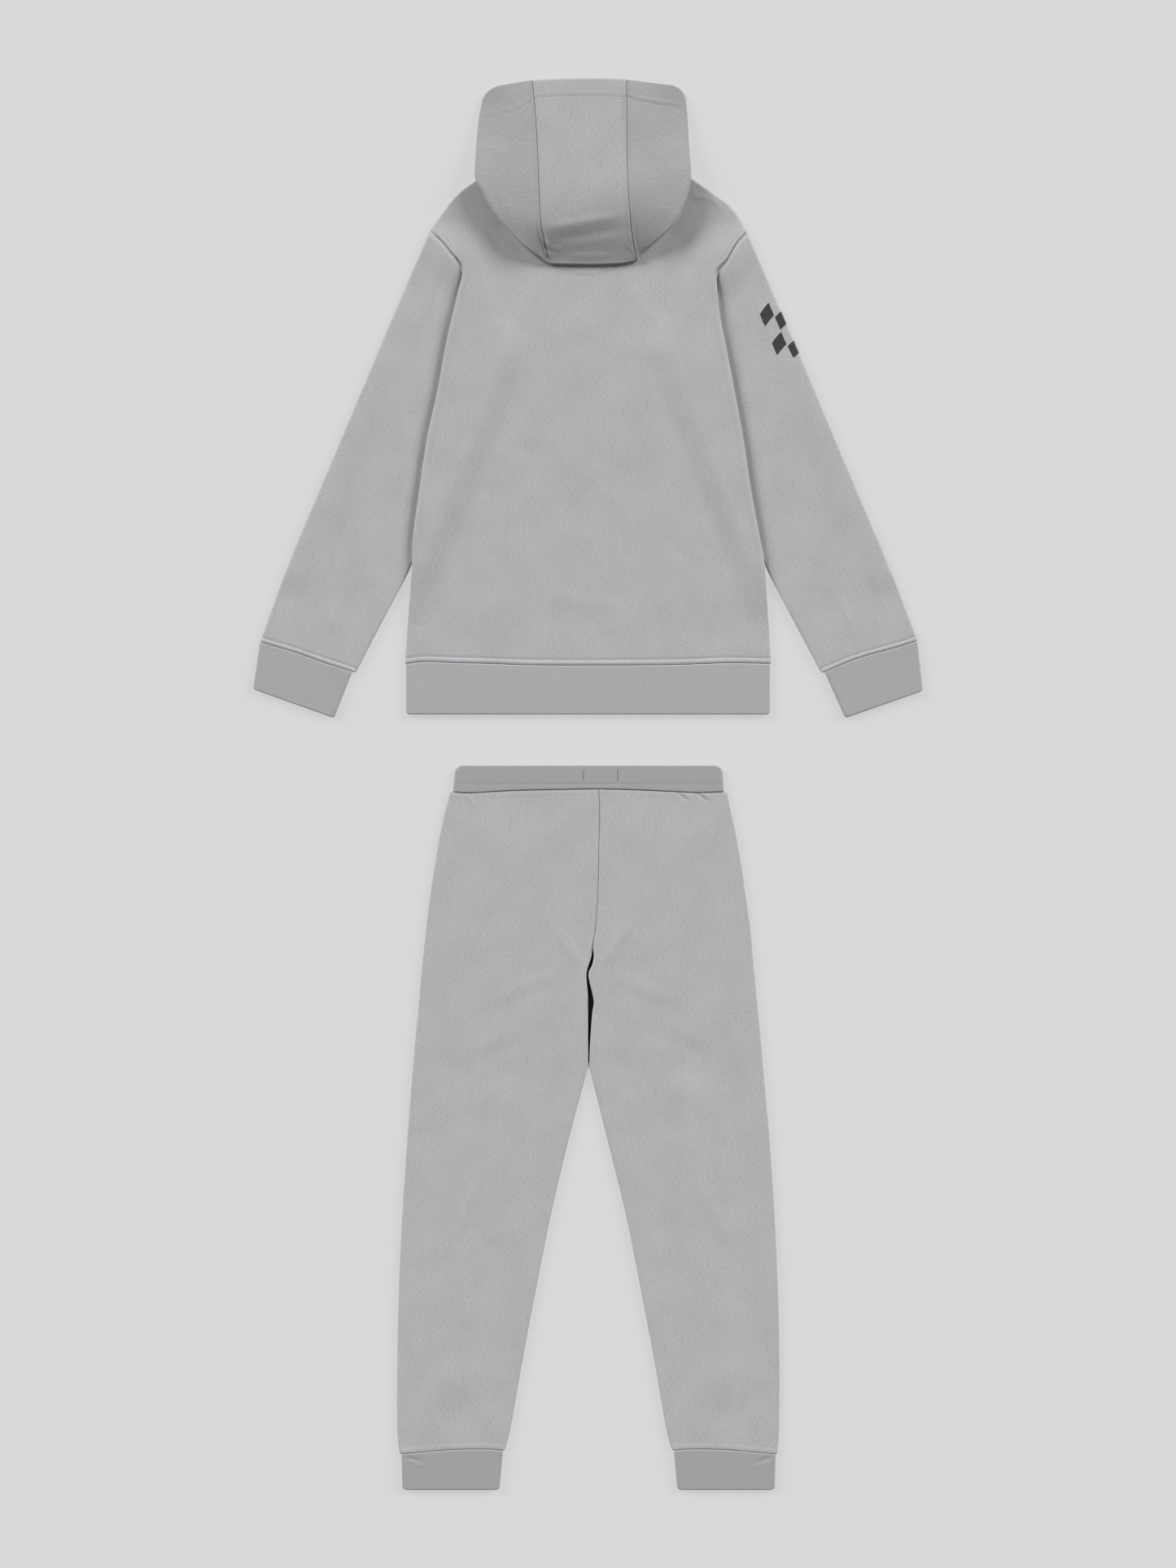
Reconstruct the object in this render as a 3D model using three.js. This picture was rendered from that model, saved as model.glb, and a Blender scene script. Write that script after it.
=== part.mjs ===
// A hoodie and a pair of joggers laid flat on a level surface with their backs up.
// Millimetres. X runs to the right, Y towards the hood and Z up from the surface.
// The wearer's left is at negative X.
import * as THREE from 'three';

const { clamp, lerp, smoothstep } = THREE.MathUtils;
const QUARTER_TURN = Math.PI / 2;

// Wall of each cloth and the height of a flattened tube of it, both layers and the air between
const FLEECE = { wall: 2.0, height: 5.0 };
const RIB = { wall: 2.6, height: 6.0 };

// Gap between pieces that are sewn together and between layers that lie on each other
const SEAM_GAP = 0.4;
const LAYER_GAP = 0.3;

// Each garment has a frame of its own, with Y measured from its lowest edge
const HOODIE_Y = 85.5;
const JOGGERS_Y = -866.5;

const GREY_FLEECE = { color: 0xaaa8ab, roughness: 0.95, metalness: 0 };
const GREY_RIB = { color: 0xa2a0a4, roughness: 0.95, metalness: 0 };

// Tables. Each row is a place on the garment and each column has a name

function table(names, rows) {
  return rows.map((row) => Object.fromEntries(names.map((name, i) => [name, row[i]])));
}

function column(rows, name) {
  return rows.map((row) => row[name]);
}

function slopeAt(keys, values, i) {
  const before = Math.max(i - 1, 0);
  const after = Math.min(i + 1, keys.length - 1);
  return (values[after] - values[before]) / (keys[after] - keys[before]);
}

// The value at a key on a smooth curve through the table's rows
function smoothAt(keys, values, key) {
  const last = keys.length - 1;
  const held = clamp(key, keys[0], keys[last]);
  let i = 0;
  while (i < last - 1 && held > keys[i + 1]) i += 1;
  const span = keys[i + 1] - keys[i];
  const t = (held - keys[i]) / span;
  const start = values[i] * (1 + 2 * t) * (1 - t) ** 2;
  const end = values[i + 1] * (3 - 2 * t) * t ** 2;
  const leaving = slopeAt(keys, values, i) * span * t * (1 - t) ** 2;
  const arriving = slopeAt(keys, values, i + 1) * span * t ** 2 * (t - 1);
  return start + end + leaving + arriving;
}

function readTable(rows, keyName, name, key) {
  return smoothAt(column(rows, keyName), column(rows, name), key);
}

// The value at a fractional row number
function readRow(rows, name, at) {
  return smoothAt(rows.map((row, i) => i), column(rows, name), at);
}

function mix(start, end, share) {
  return [lerp(start[0], end[0], share), lerp(start[1], end[1], share)];
}

function distance(start, end) {
  return Math.hypot(end[0] - start[0], end[1] - start[1]);
}

// Hoodie. Cross lines of the body, from the shoulder tips down to the hem seam. Down to the
// fourth line the ends follow the armhole seams, and below it the folds that lie on the sleeves.
// rise is how much of the shoulder's and the neck's shape a line keeps
const BODY_LINES = table(['leftX', 'leftY', 'rightX', 'rightY', 'rise'], [
  [-194, 594, 195, 593, 1],
  [-180.5, 583, 181.5, 578, 0.9],
  [-170.5, 571, 170.5, 559, 0.8],
  [-154.5, 548, 158.5, 543, 0.65],
  [-160.5, 514, 159.5, 510, 0.45],
  [-166.5, 488, 163, 482, 0.28],
  [-173.5, 458, 168, 458, 0.15],
  [-184.5, 398, 179.5, 398, 0.05],
  [-197.5, 338, 190.5, 338, 0],
  [-206.5, 278, 199.5, 278, 0],
  [-214.5, 218, 210.5, 218, 0],
  [-216, 184, 216.5, 186, 0],
  [-220.5, 128, 221, 128, 0],
  [-225, 62, 225, 62, 0],
]);

// Upper edge of the back and the front: shoulder, neck and shoulder
const SHOULDER_EDGE = table(['x', 'back', 'front'], [
  [-194, 594, 594],
  [-177.5, 618, 618],
  [-162.5, 637, 637],
  [-139.5, 655, 655],
  [-112.5, 670, 670],
  [-86.5, 681, 681],
  [-67.5, 668, 648],
  [-37.5, 659, 622],
  [0, 656, 613],
  [37.5, 659, 622],
  [67.5, 668, 648],
  [86.5, 681, 681],
  [112.5, 669, 669],
  [125.5, 660, 660],
  [154.5, 639, 639],
  [176.5, 622, 622],
  [195, 593, 593],
]);
const NECK_HALF_WIDTH = 86.5;

const HEM_SEAM = table(['x', 'y'], [
  [-225, 61.6],
  [-202, 64.4],
  [-167, 63.3],
  [-118, 62],
  [-76, 60.5],
  [-10, 60],
  [114, 61],
  [175, 63],
  [225, 62],
]);
const HEM_BAND = { top: 223.5, bottom: 223.5, corner: 4 };

// Where the body rises over the sleeves that lie under its folds. innerX is where the rise is
// complete, and lift is its share of the whole rise
const TUCK_LINES = table(['y', 'innerX', 'lift'], [
  [110, 222, 0],
  [184, 206, 1],
  [278, 170, 1],
  [438, 112, 1],
  [498, 126, 1],
  [560, 144, 1],
  [605, 162, 0],
]);
const TUCK_RAMP = 40;

// Cross lines of the sleeves, from the armhole to the cuff seam
const SLEEVE_LINES = table(
  ['outerY', 'leftOuter', 'rightOuter', 'innerY', 'leftInner', 'rightInner'],
  [
    [592.8, -194.9, 195.3, 438, -124.5, 126],
    [509, -231, 231, 374, -147.7, 149],
    [425, -266.8, 267, 310, -171, 172],
    [341, -302.5, 302.5, 246, -194, 195],
    [257, -338, 338, 182, -217.2, 218],
    [173, -372.5, 373.5, 118, -250.2, 250.5],
    [89.5, -402.8, 405, 54, -284.5, 286],
  ],
);

// Armhole end of the sleeves, from the shoulder tip to the hidden underarm
const ARMHOLE = table(['share', 'leftX', 'leftY', 'rightX', 'rightY'], [
  [0, -194.9, 592.8, 195.3, 592.2],
  [0.1, -181.4, 582, 182.4, 577],
  [0.2, -171.5, 570.2, 171.5, 558.2],
  [0.35, -155.5, 547.2, 159.6, 542.2],
  [0.65, -137.5, 498, 141, 496],
  [1, -124.5, 438, 126, 438],
]);

const LEFT_CUFF_SEAM = table(['x', 'y'], [
  [-403, 88.8],
  [-359, 75.8],
  [-325.5, 63.8],
  [-300.5, 55.8],
  [-289.5, 51.8],
]);
const RIGHT_CUFF_SEAM = table(['x', 'y'], [
  [290.5, 51.5],
  [318.5, 63.8],
  [342.5, 72],
  [383.5, 83.4],
  [404.5, 90],
]);
const CUFF_CORNER = 3.5;

// Hood. Seams between its centre strip and its sides, and its mouth and lower edges
const HOOD_SEAMS = table(['y', 'left', 'right'], [
  [552, -47.4, 60.2],
  [578, -53.5, 55.5],
  [598, -57.5, 52.5],
  [653, -60.3, 48.5],
  [708, -62.5, 47.6],
  [758, -66.5, 47.5],
  [781, -68.9, 47.5],
]);
const HOOD_MOUTH = table(['x', 'y'], [
  [-118, 770],
  [-70.5, 778.2],
  [2.5, 781],
  [62.5, 778.4],
  [113, 770],
]);
const HOOD_LOWER_EDGE = table(['x', 'y'], [
  [-48, 552.2],
  [0, 551.3],
  [40, 552.6],
  [60, 556],
]);

// Outer height of the hood along its centre, measured from the surface
const HOOD_CROWN = table(['y', 'z'], [
  [552, 11.3],
  [558, 11.6],
  [568, 14.4],
  [582, 19.5],
  [596, 24],
  [614, 26.5],
  [640, 25],
  [680, 20],
  [720, 14.5],
  [750, 10.5],
  [768, 7.6],
  [781, 5.4],
]);
// The crease where the hood turns down crosses it at a slant, higher at the right
const HOOD_SLANT = { share: 0.17, low: 552, high: 690 };

// Cross lines of the hood's sides, from the mouth to the lower edge. returned is how much of the
// line the under layer covers
const HOOD_SIDE_COLUMNS = ['seamY', 'edgeX', 'edgeY', 'height', 'returned'];
const HOOD_LEFT_LINES = table(HOOD_SIDE_COLUMNS, [
  [778.4, -117.5, 770, 5, 0.12],
  [772, -126, 763.5, 5, 0.14],
  [765, -130, 756, 5, 0.17],
  [755, -132.3, 744, 5, 0.24],
  [732, -134.5, 728, 5, 0.4],
  [708, -136.5, 706, 5.2, 0.7],
  [688, -137.6, 688, 5.5, 0.95],
  [673, -138.2, 673, 6, 1],
  [659, -138.5, 657.5, 8, 1],
  [642, -130, 639.5, 10, 1],
  [621, -115, 613, 12, 1],
  [601, -97.5, 591, 12, 1],
  [583, -80, 573.5, 11, 1],
  [569, -65, 562, 8, 1],
  [557, -54.8, 556, 5.4, 1],
]);
const HOOD_RIGHT_LINES = table(HOOD_SIDE_COLUMNS, [
  [779, 112.5, 770, 5, 0.12],
  [773, 117.5, 764.5, 5, 0.14],
  [766, 120, 757, 5, 0.17],
  [755, 121.5, 744, 5, 0.24],
  [732, 122.5, 728, 5, 0.4],
  [708, 123.7, 706, 5.2, 0.7],
  [688, 124.6, 688, 5.5, 0.95],
  [675, 125.6, 675, 6, 1],
  [661, 126.5, 660.5, 8, 1],
  [643, 122.5, 638, 10, 1],
  [624, 114, 614, 12, 1],
  [605, 105, 598, 12, 1],
  [588, 90, 584, 11, 1],
  [574, 76, 572, 8, 1],
  [562, 66.5, 564, 5.4, 1],
]);
const HOOD_NECK_Y = 650;
// How far past the shoulder line the hood's under layer comes down to the surface
const HOOD_RAMP = { start: 16, end: 34 };
const HOOD_SEAM_GAP = 0.7;
const HOOD_FOLD_HEIGHT = 6;

// Joggers. Cross lines of the legs, from the waist seam to the ankle seam. seat is the inner edge
// of a back and front that of a front, and rolled is how far the seat's inner edge turns down
const LEG_LINES = table(
  ['y', 'leftOuter', 'leftSeat', 'rightSeat', 'rightOuter', 'leftFront', 'rightFront', 'rolled'],
  [
    [857, -169.7, 12.8, 13.2, 171, 1.8, 2.2, 0],
    [830, -176.5, 14.1, 14.5, 176.5, 1.8, 2.2, 0],
    [786, -185.5, 13, 13.4, 185.5, 1.8, 2.2, 0],
    [726, -194.5, 11.8, 12.2, 194.5, 1.8, 2.2, 0],
    [690, -199, 9, 9.4, 199.5, 1.9, 2.3, 0],
    [667, -201.5, 5.3, 5.9, 201.5, 2, 2.4, 0.2],
    [655, -202.8, 4.3, 6.9, 202.8, 2, 2.4, 0.6],
    [644, -203.8, 0.8, 4.8, 203.8, 2, 2.4, 0.8],
    [632, -205, -1.9, 0.3, 205, 2, 2.4, 0.9],
    [610, -207, -0.3, 5.2, 207, 2, 2.4, 1],
    [598, -208, -0.2, 7.2, 208, 2, 2.4, 1],
    [585, -209.3, -0.1, 5.3, 209.3, 1.8, 2.2, 1],
    [559, -211.8, 0, 3.2, 211.8, 1.4, 1.8, 1],
    [524, -214.8, 0.1, 1.7, 215, 0.7, 1.1, 1],
    [505, -216.5, -3.4, 4.7, 216.6, -3.4, 4.7, 1],
    [486, -218, -8.5, 9.5, 218.3, -8.5, 9.5, 1],
    [426, -222.5, -24.5, 24.5, 223.5, -24.5, 24.5, 1],
    [336, -228.5, -45.5, 46.5, 229.5, -45.5, 46.5, 1],
    [246, -232.5, -63.5, 64.5, 233.5, -63.5, 64.5, 1],
    [156, -234.5, -80.5, 81.5, 235.5, -80.5, 81.5, 1],
    [76, -234.6, -94.7, 95.4, 235, -94.7, 95.4, 1],
    [49, -231.5, -102, 103, 232.5, -102, 103, 1],
  ],
);
const FRONTS_PART_Y = 524;
const FRONTS_ROLLED_Y = 500;

const WAIST_SEAM = table(['x', 'y'], [
  [-170, 857],
  [-147, 855.4],
  [-112, 857.3],
  [-80, 858.7],
  [-30, 859.6],
  [0, 860.2],
  [46, 859.6],
  [100, 857.4],
  [136, 855.8],
  [171, 857],
]);
const ANKLE_SEAM = table(['x', 'y'], [
  [104, 48],
  [118, 49.5],
  [155, 49.5],
  [180, 48.2],
  [206, 45.8],
  [230, 43.6],
]);

// Rib bands: their corners at the seam and at the free edge, and how round the free corners are
const WAISTBAND_CORNERS = { seam: [-166, 167.3], edge: [[-162.7, 889.5], [164.5, 889.5]] };
const WAISTBAND_CORNER = 9;
const ANKLE_CORNER = 4;

// Soft swells of the upper layers: a ridge from one place to another
const SWELL_COLUMNS = ['fromX', 'fromY', 'toX', 'toY', 'halfWidth', 'height'];
const BODY_SWELLS = table(SWELL_COLUMNS, [
  [-95, 420, -105, 150, 75, 1.6],
  [85, 440, 110, 160, 75, 1.8],
  [-10, 470, 15, 330, 60, 1.2],
]);
const SLEEVE_SWELLS = table(SWELL_COLUMNS, [
  [-255, 430, -360, 180, 38, 1.8],
  [255, 430, 362, 180, 38, 1.8],
]);
const JOGGERS_SWELLS = table(SWELL_COLUMNS, [
  [-95, 780, -110, 560, 70, 1.8],
  [100, 790, 112, 570, 70, 1.8],
  [-130, 470, -165, 140, 55, 1.8],
  [130, 480, 168, 140, 55, 1.8],
]);

function swellAt(swells, x, y) {
  return swells.reduce((height, swell) => {
    const along = [swell.toX - swell.fromX, swell.toY - swell.fromY];
    const reach = (x - swell.fromX) * along[0] + (y - swell.fromY) * along[1];
    const share = clamp(reach / (along[0] ** 2 + along[1] ** 2), 0, 1);
    const away = Math.hypot(x - swell.fromX - share * along[0], y - swell.fromY - share * along[1]);
    return height + swell.height * (1 - smoothstep(away, 0, swell.halfWidth));
  }, 0);
}

// Cloth. A piece is a grid of rows along it and stations across it. A station lies on the upper
// or the under layer, or on a fold, where turn runs from 0 on the flat to 1 at the very edge

const FOLD_TURNS = [1, 0.5, 0];

function layerStations(layer, shares) {
  const rising = FOLD_TURNS.map((turn) => ({ layer, side: -1, turn }));
  const flat = shares.map((share) => ({ layer, side: 0, turn: 0, share }));
  const falling = [...FOLD_TURNS].reverse().map((turn) => ({ layer, side: 1, turn }));
  return [...rising, ...flat, ...falling];
}

function tubeStations(shares) {
  const under = layerStations(-1, shares).slice(1, -1).reverse();
  return [...layerStations(1, shares), ...under];
}

function evenShares(count) {
  return Array.from({ length: count }, (unused, i) => (i + 1) / (count + 1));
}

// A point of a fold: reach is its distance from the edge and rise its share of the fold's radius
function foldPoint(turn, foldRadius, radius, rolled) {
  const angle = turn * QUARTER_TURN;
  return {
    reach: lerp(foldRadius * (1 - turn), foldRadius - radius * Math.sin(angle), rolled),
    rise: lerp(1, Math.cos(angle), rolled),
  };
}

function stepInside(plan, share, reach) {
  const start = plan(0, share);
  const next = plan(1, share);
  return mix(start, next, reach / distance(start, next));
}

// The piece's outer surface at the fold's own radius, and its inner one a wall further in
function clothSurface(piece, radius) {
  const foldRadius = piece.cloth.height / 2;
  return piece.rows.map((row) => {
    const width = distance(piece.plan(row.at, 0), piece.plan(row.at, 1));
    return piece.stations.map((station) => {
      const rolled = piece.rolled ? piece.rolled(row.at, station.side) : 1;
      const fold = foldPoint(station.turn, foldRadius, radius, rolled);
      const edgeShare = fold.reach / width;
      const share = [edgeShare, station.share, 1 - edgeShare][station.side + 1];
      const endRolled = piece.endRolled ? piece.endRolled(share) : 0;
      const end = foldPoint(row.turn, foldRadius, radius, endRolled);
      const [x, y] = row.edge ? stepInside(piece.plan, share, end.reach) : piece.plan(row.at, share);
      const rise = Math.min(fold.rise, end.rise);
      const level = foldRadius + station.layer * radius * rise;
      const swell = station.layer > 0 && piece.swells ? rise * swellAt(piece.swells, x, y) : 0;
      const ground = piece.ground ? piece.ground(x, y) : 0;
      return [x, y, splitLevel(piece, level, foldRadius) + swell + ground];
    });
  });
}

// Where a fold is shared by an upper and an under piece, each stops short of the middle
function splitLevel(piece, level, middle) {
  if (piece.half > 0) return Math.max(level, middle + LAYER_GAP / 2);
  if (piece.half < 0) return Math.min(level, middle - LAYER_GAP / 2);
  return level;
}

// One closed solid between an outer and an inner grid of points
function sewSolid(name, look, outer, inner, closed) {
  const rows = outer.length;
  const stations = outer[0].length;
  const points = [...outer.flat(), ...inner.flat()];
  const innerStart = rows * stations;
  const at = (row, station) => row * stations + (station % stations);
  const faces = [];
  const rim = (start, end) => {
    faces.push([end, start, innerStart + start], [end, innerStart + start, innerStart + end]);
  };
  const lastStation = closed ? stations : stations - 1;
  for (let row = 0; row < rows - 1; row += 1) {
    for (let station = 0; station < lastStation; station += 1) {
      const corners = [at(row, station), at(row + 1, station)];
      corners.push(at(row + 1, station + 1), at(row, station + 1));
      const [a, b, c, d] = corners;
      const [e, f, g, h] = corners.map((corner) => corner + innerStart);
      faces.push([a, b, c], [a, c, d], [e, g, f], [e, h, g]);
    }
    if (!closed) {
      rim(at(row, 0), at(row + 1, 0));
      rim(at(row + 1, stations - 1), at(row, stations - 1));
    }
  }
  for (let station = 0; station < lastStation; station += 1) {
    rim(at(0, station + 1), at(0, station));
    rim(at(rows - 1, station), at(rows - 1, station + 1));
  }
  const facing = signedVolume(points, faces) > 0;
  const geometry = new THREE.BufferGeometry();
  const turned = facing ? faces : faces.map(([a, b, c]) => [a, c, b]);
  geometry.setAttribute('position', new THREE.Float32BufferAttribute(points.flat(), 3));
  geometry.setIndex(turned.flat());
  geometry.computeVertexNormals();
  const mesh = new THREE.Mesh(geometry, new THREE.MeshStandardMaterial(look));
  mesh.name = name;
  return mesh;
}

function signedVolume(points, faces) {
  return faces.reduce((volume, [a, b, c]) => {
    const [ax, ay, az] = points[a];
    const [bx, by, bz] = points[b];
    const [cx, cy, cz] = points[c];
    const cross = ax * (by * cz - bz * cy) - ay * (bx * cz - bz * cx) + az * (bx * cy - by * cx);
    return volume + cross / 6;
  }, 0);
}

function sewPiece(piece) {
  const foldRadius = piece.cloth.height / 2;
  const outer = clothSurface(piece, foldRadius);
  const inner = clothSurface(piece, foldRadius - piece.cloth.wall);
  return sewSolid(piece.name, piece.look, outer, inner, !piece.half);
}

function plainRows(ats) {
  return ats.map((at) => ({ at, turn: 0, edge: false }));
}

function foldedRows(ats) {
  const fold = FOLD_TURNS.map((turn) => ({ at: 0, turn, edge: true }));
  return [...fold, ...plainRows(ats)];
}

function countRows(first, last, step) {
  const count = Math.round((last - first) / step) + 1;
  return Array.from({ length: count }, (unused, i) => first + i * step);
}

// Hoodie body

const BODY_LAST = BODY_LINES.length - 1;

function tuckRise(x, y) {
  const innerX = readTable(TUCK_LINES, 'y', 'innerX', y);
  const lift = clamp(readTable(TUCK_LINES, 'y', 'lift', y), 0, 1);
  const whole = FLEECE.height + LAYER_GAP;
  return whole * lift * smoothstep(Math.abs(x), innerX - TUCK_RAMP, innerX);
}

function bodyPlan(edgeName) {
  const tips = [SHOULDER_EDGE[0], SHOULDER_EDGE[SHOULDER_EDGE.length - 1]];
  return (at, share) => {
    const left = [readRow(BODY_LINES, 'leftX', at), readRow(BODY_LINES, 'leftY', at)];
    const right = [readRow(BODY_LINES, 'rightX', at), readRow(BODY_LINES, 'rightY', at)];
    const [x, level] = mix(left, right, share);
    const edgeX = lerp(tips[0].x, tips[1].x, share);
    const tipY = lerp(tips[0].back, tips[1].back, share);
    const shape = readTable(SHOULDER_EDGE, 'x', edgeName, edgeX) - tipY;
    const rise = readRow(BODY_LINES, 'rise', at);
    const hem = readTable(HEM_SEAM, 'x', 'y', x) + SEAM_GAP / 2 - BODY_LINES[BODY_LAST].leftY;
    return [x, level + rise * shape + hem * smoothstep(at, BODY_LAST - 1, BODY_LAST)];
  };
}

// The shoulders fold over at their edge, and the neck is a cut edge between them
function shoulderRolled(share) {
  const x = lerp(BODY_LINES[0].leftX, BODY_LINES[0].rightX, share);
  return Math.abs(x) < NECK_HALF_WIDTH + 1 ? 0 : 1;
}

function bodyShares() {
  const xs = column(SHOULDER_EDGE, 'x');
  const first = xs[0];
  const width = xs[xs.length - 1] - first;
  return xs.slice(1, -1).map((x) => (x - first) / width);
}

function bodyPanel(name, half, edgeName, swells) {
  return sewPiece({
    name,
    look: GREY_FLEECE,
    cloth: FLEECE,
    half,
    stations: layerStations(half, bodyShares()),
    rows: foldedRows(countRows(1, BODY_LAST, 1)),
    plan: bodyPlan(edgeName),
    endRolled: shoulderRolled,
    ground: tuckRise,
    swells,
  });
}

// Sleeves

const SLEEVE_SHARES = [0.1, 0.2, 0.35, 0.5, 0.65, 0.83];

function sleevePlan(side, cuffSeam) {
  const last = SLEEVE_LINES.length - 1;
  const end = SLEEVE_LINES[last];
  const underarm = ARMHOLE[ARMHOLE.length - 1];
  return (at, share) => {
    const outer = [readRow(SLEEVE_LINES, `${side}Outer`, at), readRow(SLEEVE_LINES, 'outerY', at)];
    const inner = [readRow(SLEEVE_LINES, `${side}Inner`, at), readRow(SLEEVE_LINES, 'innerY', at)];
    const [lineX, lineY] = mix(outer, inner, share);
    const tipPoint = [ARMHOLE[0][`${side}X`], ARMHOLE[0][`${side}Y`]];
    const chord = mix(tipPoint, [underarm[`${side}X`], underarm[`${side}Y`]], share);
    const fade = (1 - at / last) ** 2;
    const x = lineX + fade * (readTable(ARMHOLE, 'share', `${side}X`, share) - chord[0]);
    const y = lineY + fade * (readTable(ARMHOLE, 'share', `${side}Y`, share) - chord[1]);
    const seamX = lerp(end[`${side}Outer`], end[`${side}Inner`], share);
    const seam = readTable(cuffSeam, 'x', 'y', seamX) + SEAM_GAP / 2;
    const bend = seam - lerp(end.outerY, end.innerY, share);
    return [x, y + bend * smoothstep(at, last - 1, last)];
  };
}

function sleeve(name, side, cuffSeam) {
  return sewPiece({
    name,
    look: GREY_FLEECE,
    cloth: FLEECE,
    stations: tubeStations(SLEEVE_SHARES),
    rows: plainRows(countRows(0, SLEEVE_LINES.length - 1, 0.5)),
    plan: sleevePlan(side, cuffSeam),
    swells: SLEEVE_SWELLS,
  });
}

// Rib bands. A band runs from its seam to a free edge with rounded corners

function bandPlan(band) {
  const seamEnds = [bandSeamPoint(band, 0), bandSeamPoint(band, 1)];
  const length = distance(seamEnds[0], band.edge[0]);
  return (at, share) => {
    const fromEdge = (1 - at) * length;
    const cut = Math.max(band.corner - fromEdge, 0);
    const inset = band.corner - Math.sqrt(band.corner ** 2 - cut ** 2);
    const left = mix(seamEnds[0], band.edge[0], at);
    const right = mix(seamEnds[1], band.edge[1], at);
    const width = distance(left, right);
    const held = lerp(inset / width, 1 - inset / width, share);
    const chord = mix(seamEnds[0], seamEnds[1], share);
    const bend = bandSeamPoint(band, share)[1] - chord[1];
    const [x, y] = mix(left, right, held);
    return [x, y + bend * (1 - at)];
  };
}

function bandSeamPoint(band, share) {
  const x = lerp(band.seamX[0], band.seamX[1], share);
  const key = band.mirrored ? -x : x;
  return [x, readTable(band.seam, 'x', 'y', key) + band.gap];
}

// Rows of a band: where they lie along it, and how far from its free edge in corner radii
const BAND_ROWS = [0, 0.4];
const BAND_CORNER_ROWS = [1, 0.7, 0.3, 0];
const WIDE_BAND_STATIONS = 12;
const CUFF_STATIONS = 6;

function ribBand(name, band, shareCount) {
  const length = distance(bandSeamPoint(band, 0), band.edge[0]);
  const cornerRows = BAND_CORNER_ROWS.map((radii) => 1 - (radii * band.corner) / length);
  return sewPiece({
    name,
    look: GREY_RIB,
    cloth: RIB,
    stations: tubeStations(evenShares(shareCount)),
    rows: plainRows([...BAND_ROWS, ...cornerRows]),
    plan: bandPlan(band),
  });
}

function hemBand() {
  const edge = [[-HEM_BAND.bottom, 0], [HEM_BAND.bottom, 0]];
  const seamX = [-HEM_BAND.top, HEM_BAND.top];
  const band = { seam: HEM_SEAM, seamX, edge, corner: HEM_BAND.corner, gap: -SEAM_GAP / 2 };
  return ribBand('hem_band', band, WIDE_BAND_STATIONS);
}

function sleeveCuff(name, seam, edge) {
  const seamX = [seam[0].x, seam[seam.length - 1].x];
  const band = { seam, seamX, edge, corner: CUFF_CORNER, gap: -SEAM_GAP / 2 };
  return ribBand(name, band, CUFF_STATIONS);
}

function waistband() {
  const { seam, edge } = WAISTBAND_CORNERS;
  const band = { seam: WAIST_SEAM, seamX: seam, edge, corner: WAISTBAND_CORNER, gap: SEAM_GAP / 2 };
  return ribBand('waistband', band, WIDE_BAND_STATIONS);
}

function ankleCuff(name, seamX, edge, mirrored) {
  const gap = -SEAM_GAP / 2;
  const band = { seam: ANKLE_SEAM, seamX, edge, corner: ANKLE_CORNER, gap, mirrored };
  return ribBand(name, band, CUFF_STATIONS);
}

// Hood

function hoodTop(x, y) {
  const { share, low, high } = HOOD_SLANT;
  const zone = clamp((y - low) / (high - low), 0, 1);
  const slant = share * x * Math.sin(Math.PI * zone) ** 2;
  return readTable(HOOD_CROWN, 'y', 'z', y - slant);
}

// What the hood lies on: the surface above the shoulders, and the back below them
function hoodFloor(x, y) {
  const shoulder = Math.abs(x) < NECK_HALF_WIDTH
    ? SHOULDER_EDGE.find((row) => row.x === -NECK_HALF_WIDTH).back
    : readTable(SHOULDER_EDGE, 'x', 'back', -Math.abs(x));
  const down = smoothstep(y, shoulder + HOOD_RAMP.start, shoulder + HOOD_RAMP.end);
  return (FLEECE.height + LAYER_GAP) * (1 - down);
}

function hoodSidePlan(lines, side) {
  const outward = side === 'left' ? -1 : 1;
  return (at, share) => {
    const seamY = readRow(lines, 'seamY', at);
    const seam = [readTable(HOOD_SEAMS, 'y', side, seamY) + (outward * HOOD_SEAM_GAP) / 2, seamY];
    const edge = [readRow(lines, 'edgeX', at), readRow(lines, 'edgeY', at)];
    return mix(edge, seam, share);
  };
}

const HOOD_UPPER_SHARES = [1, 0.8, 0.6, 0.4, 0.2];
const HOOD_UNDER_SHARES = [0.25, 0.5, 0.75, 1];

function hoodSideStations() {
  return [
    ...HOOD_UPPER_SHARES.map((share) => ({ layer: 1, flat: share })),
    ...[0, 0.5, 1].map((turn) => ({ layer: 1, turn })),
    ...[0.5, 0].map((turn) => ({ layer: -1, turn })),
    ...HOOD_UNDER_SHARES.map((share) => ({ layer: -1, flat: share })),
  ];
}

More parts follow.
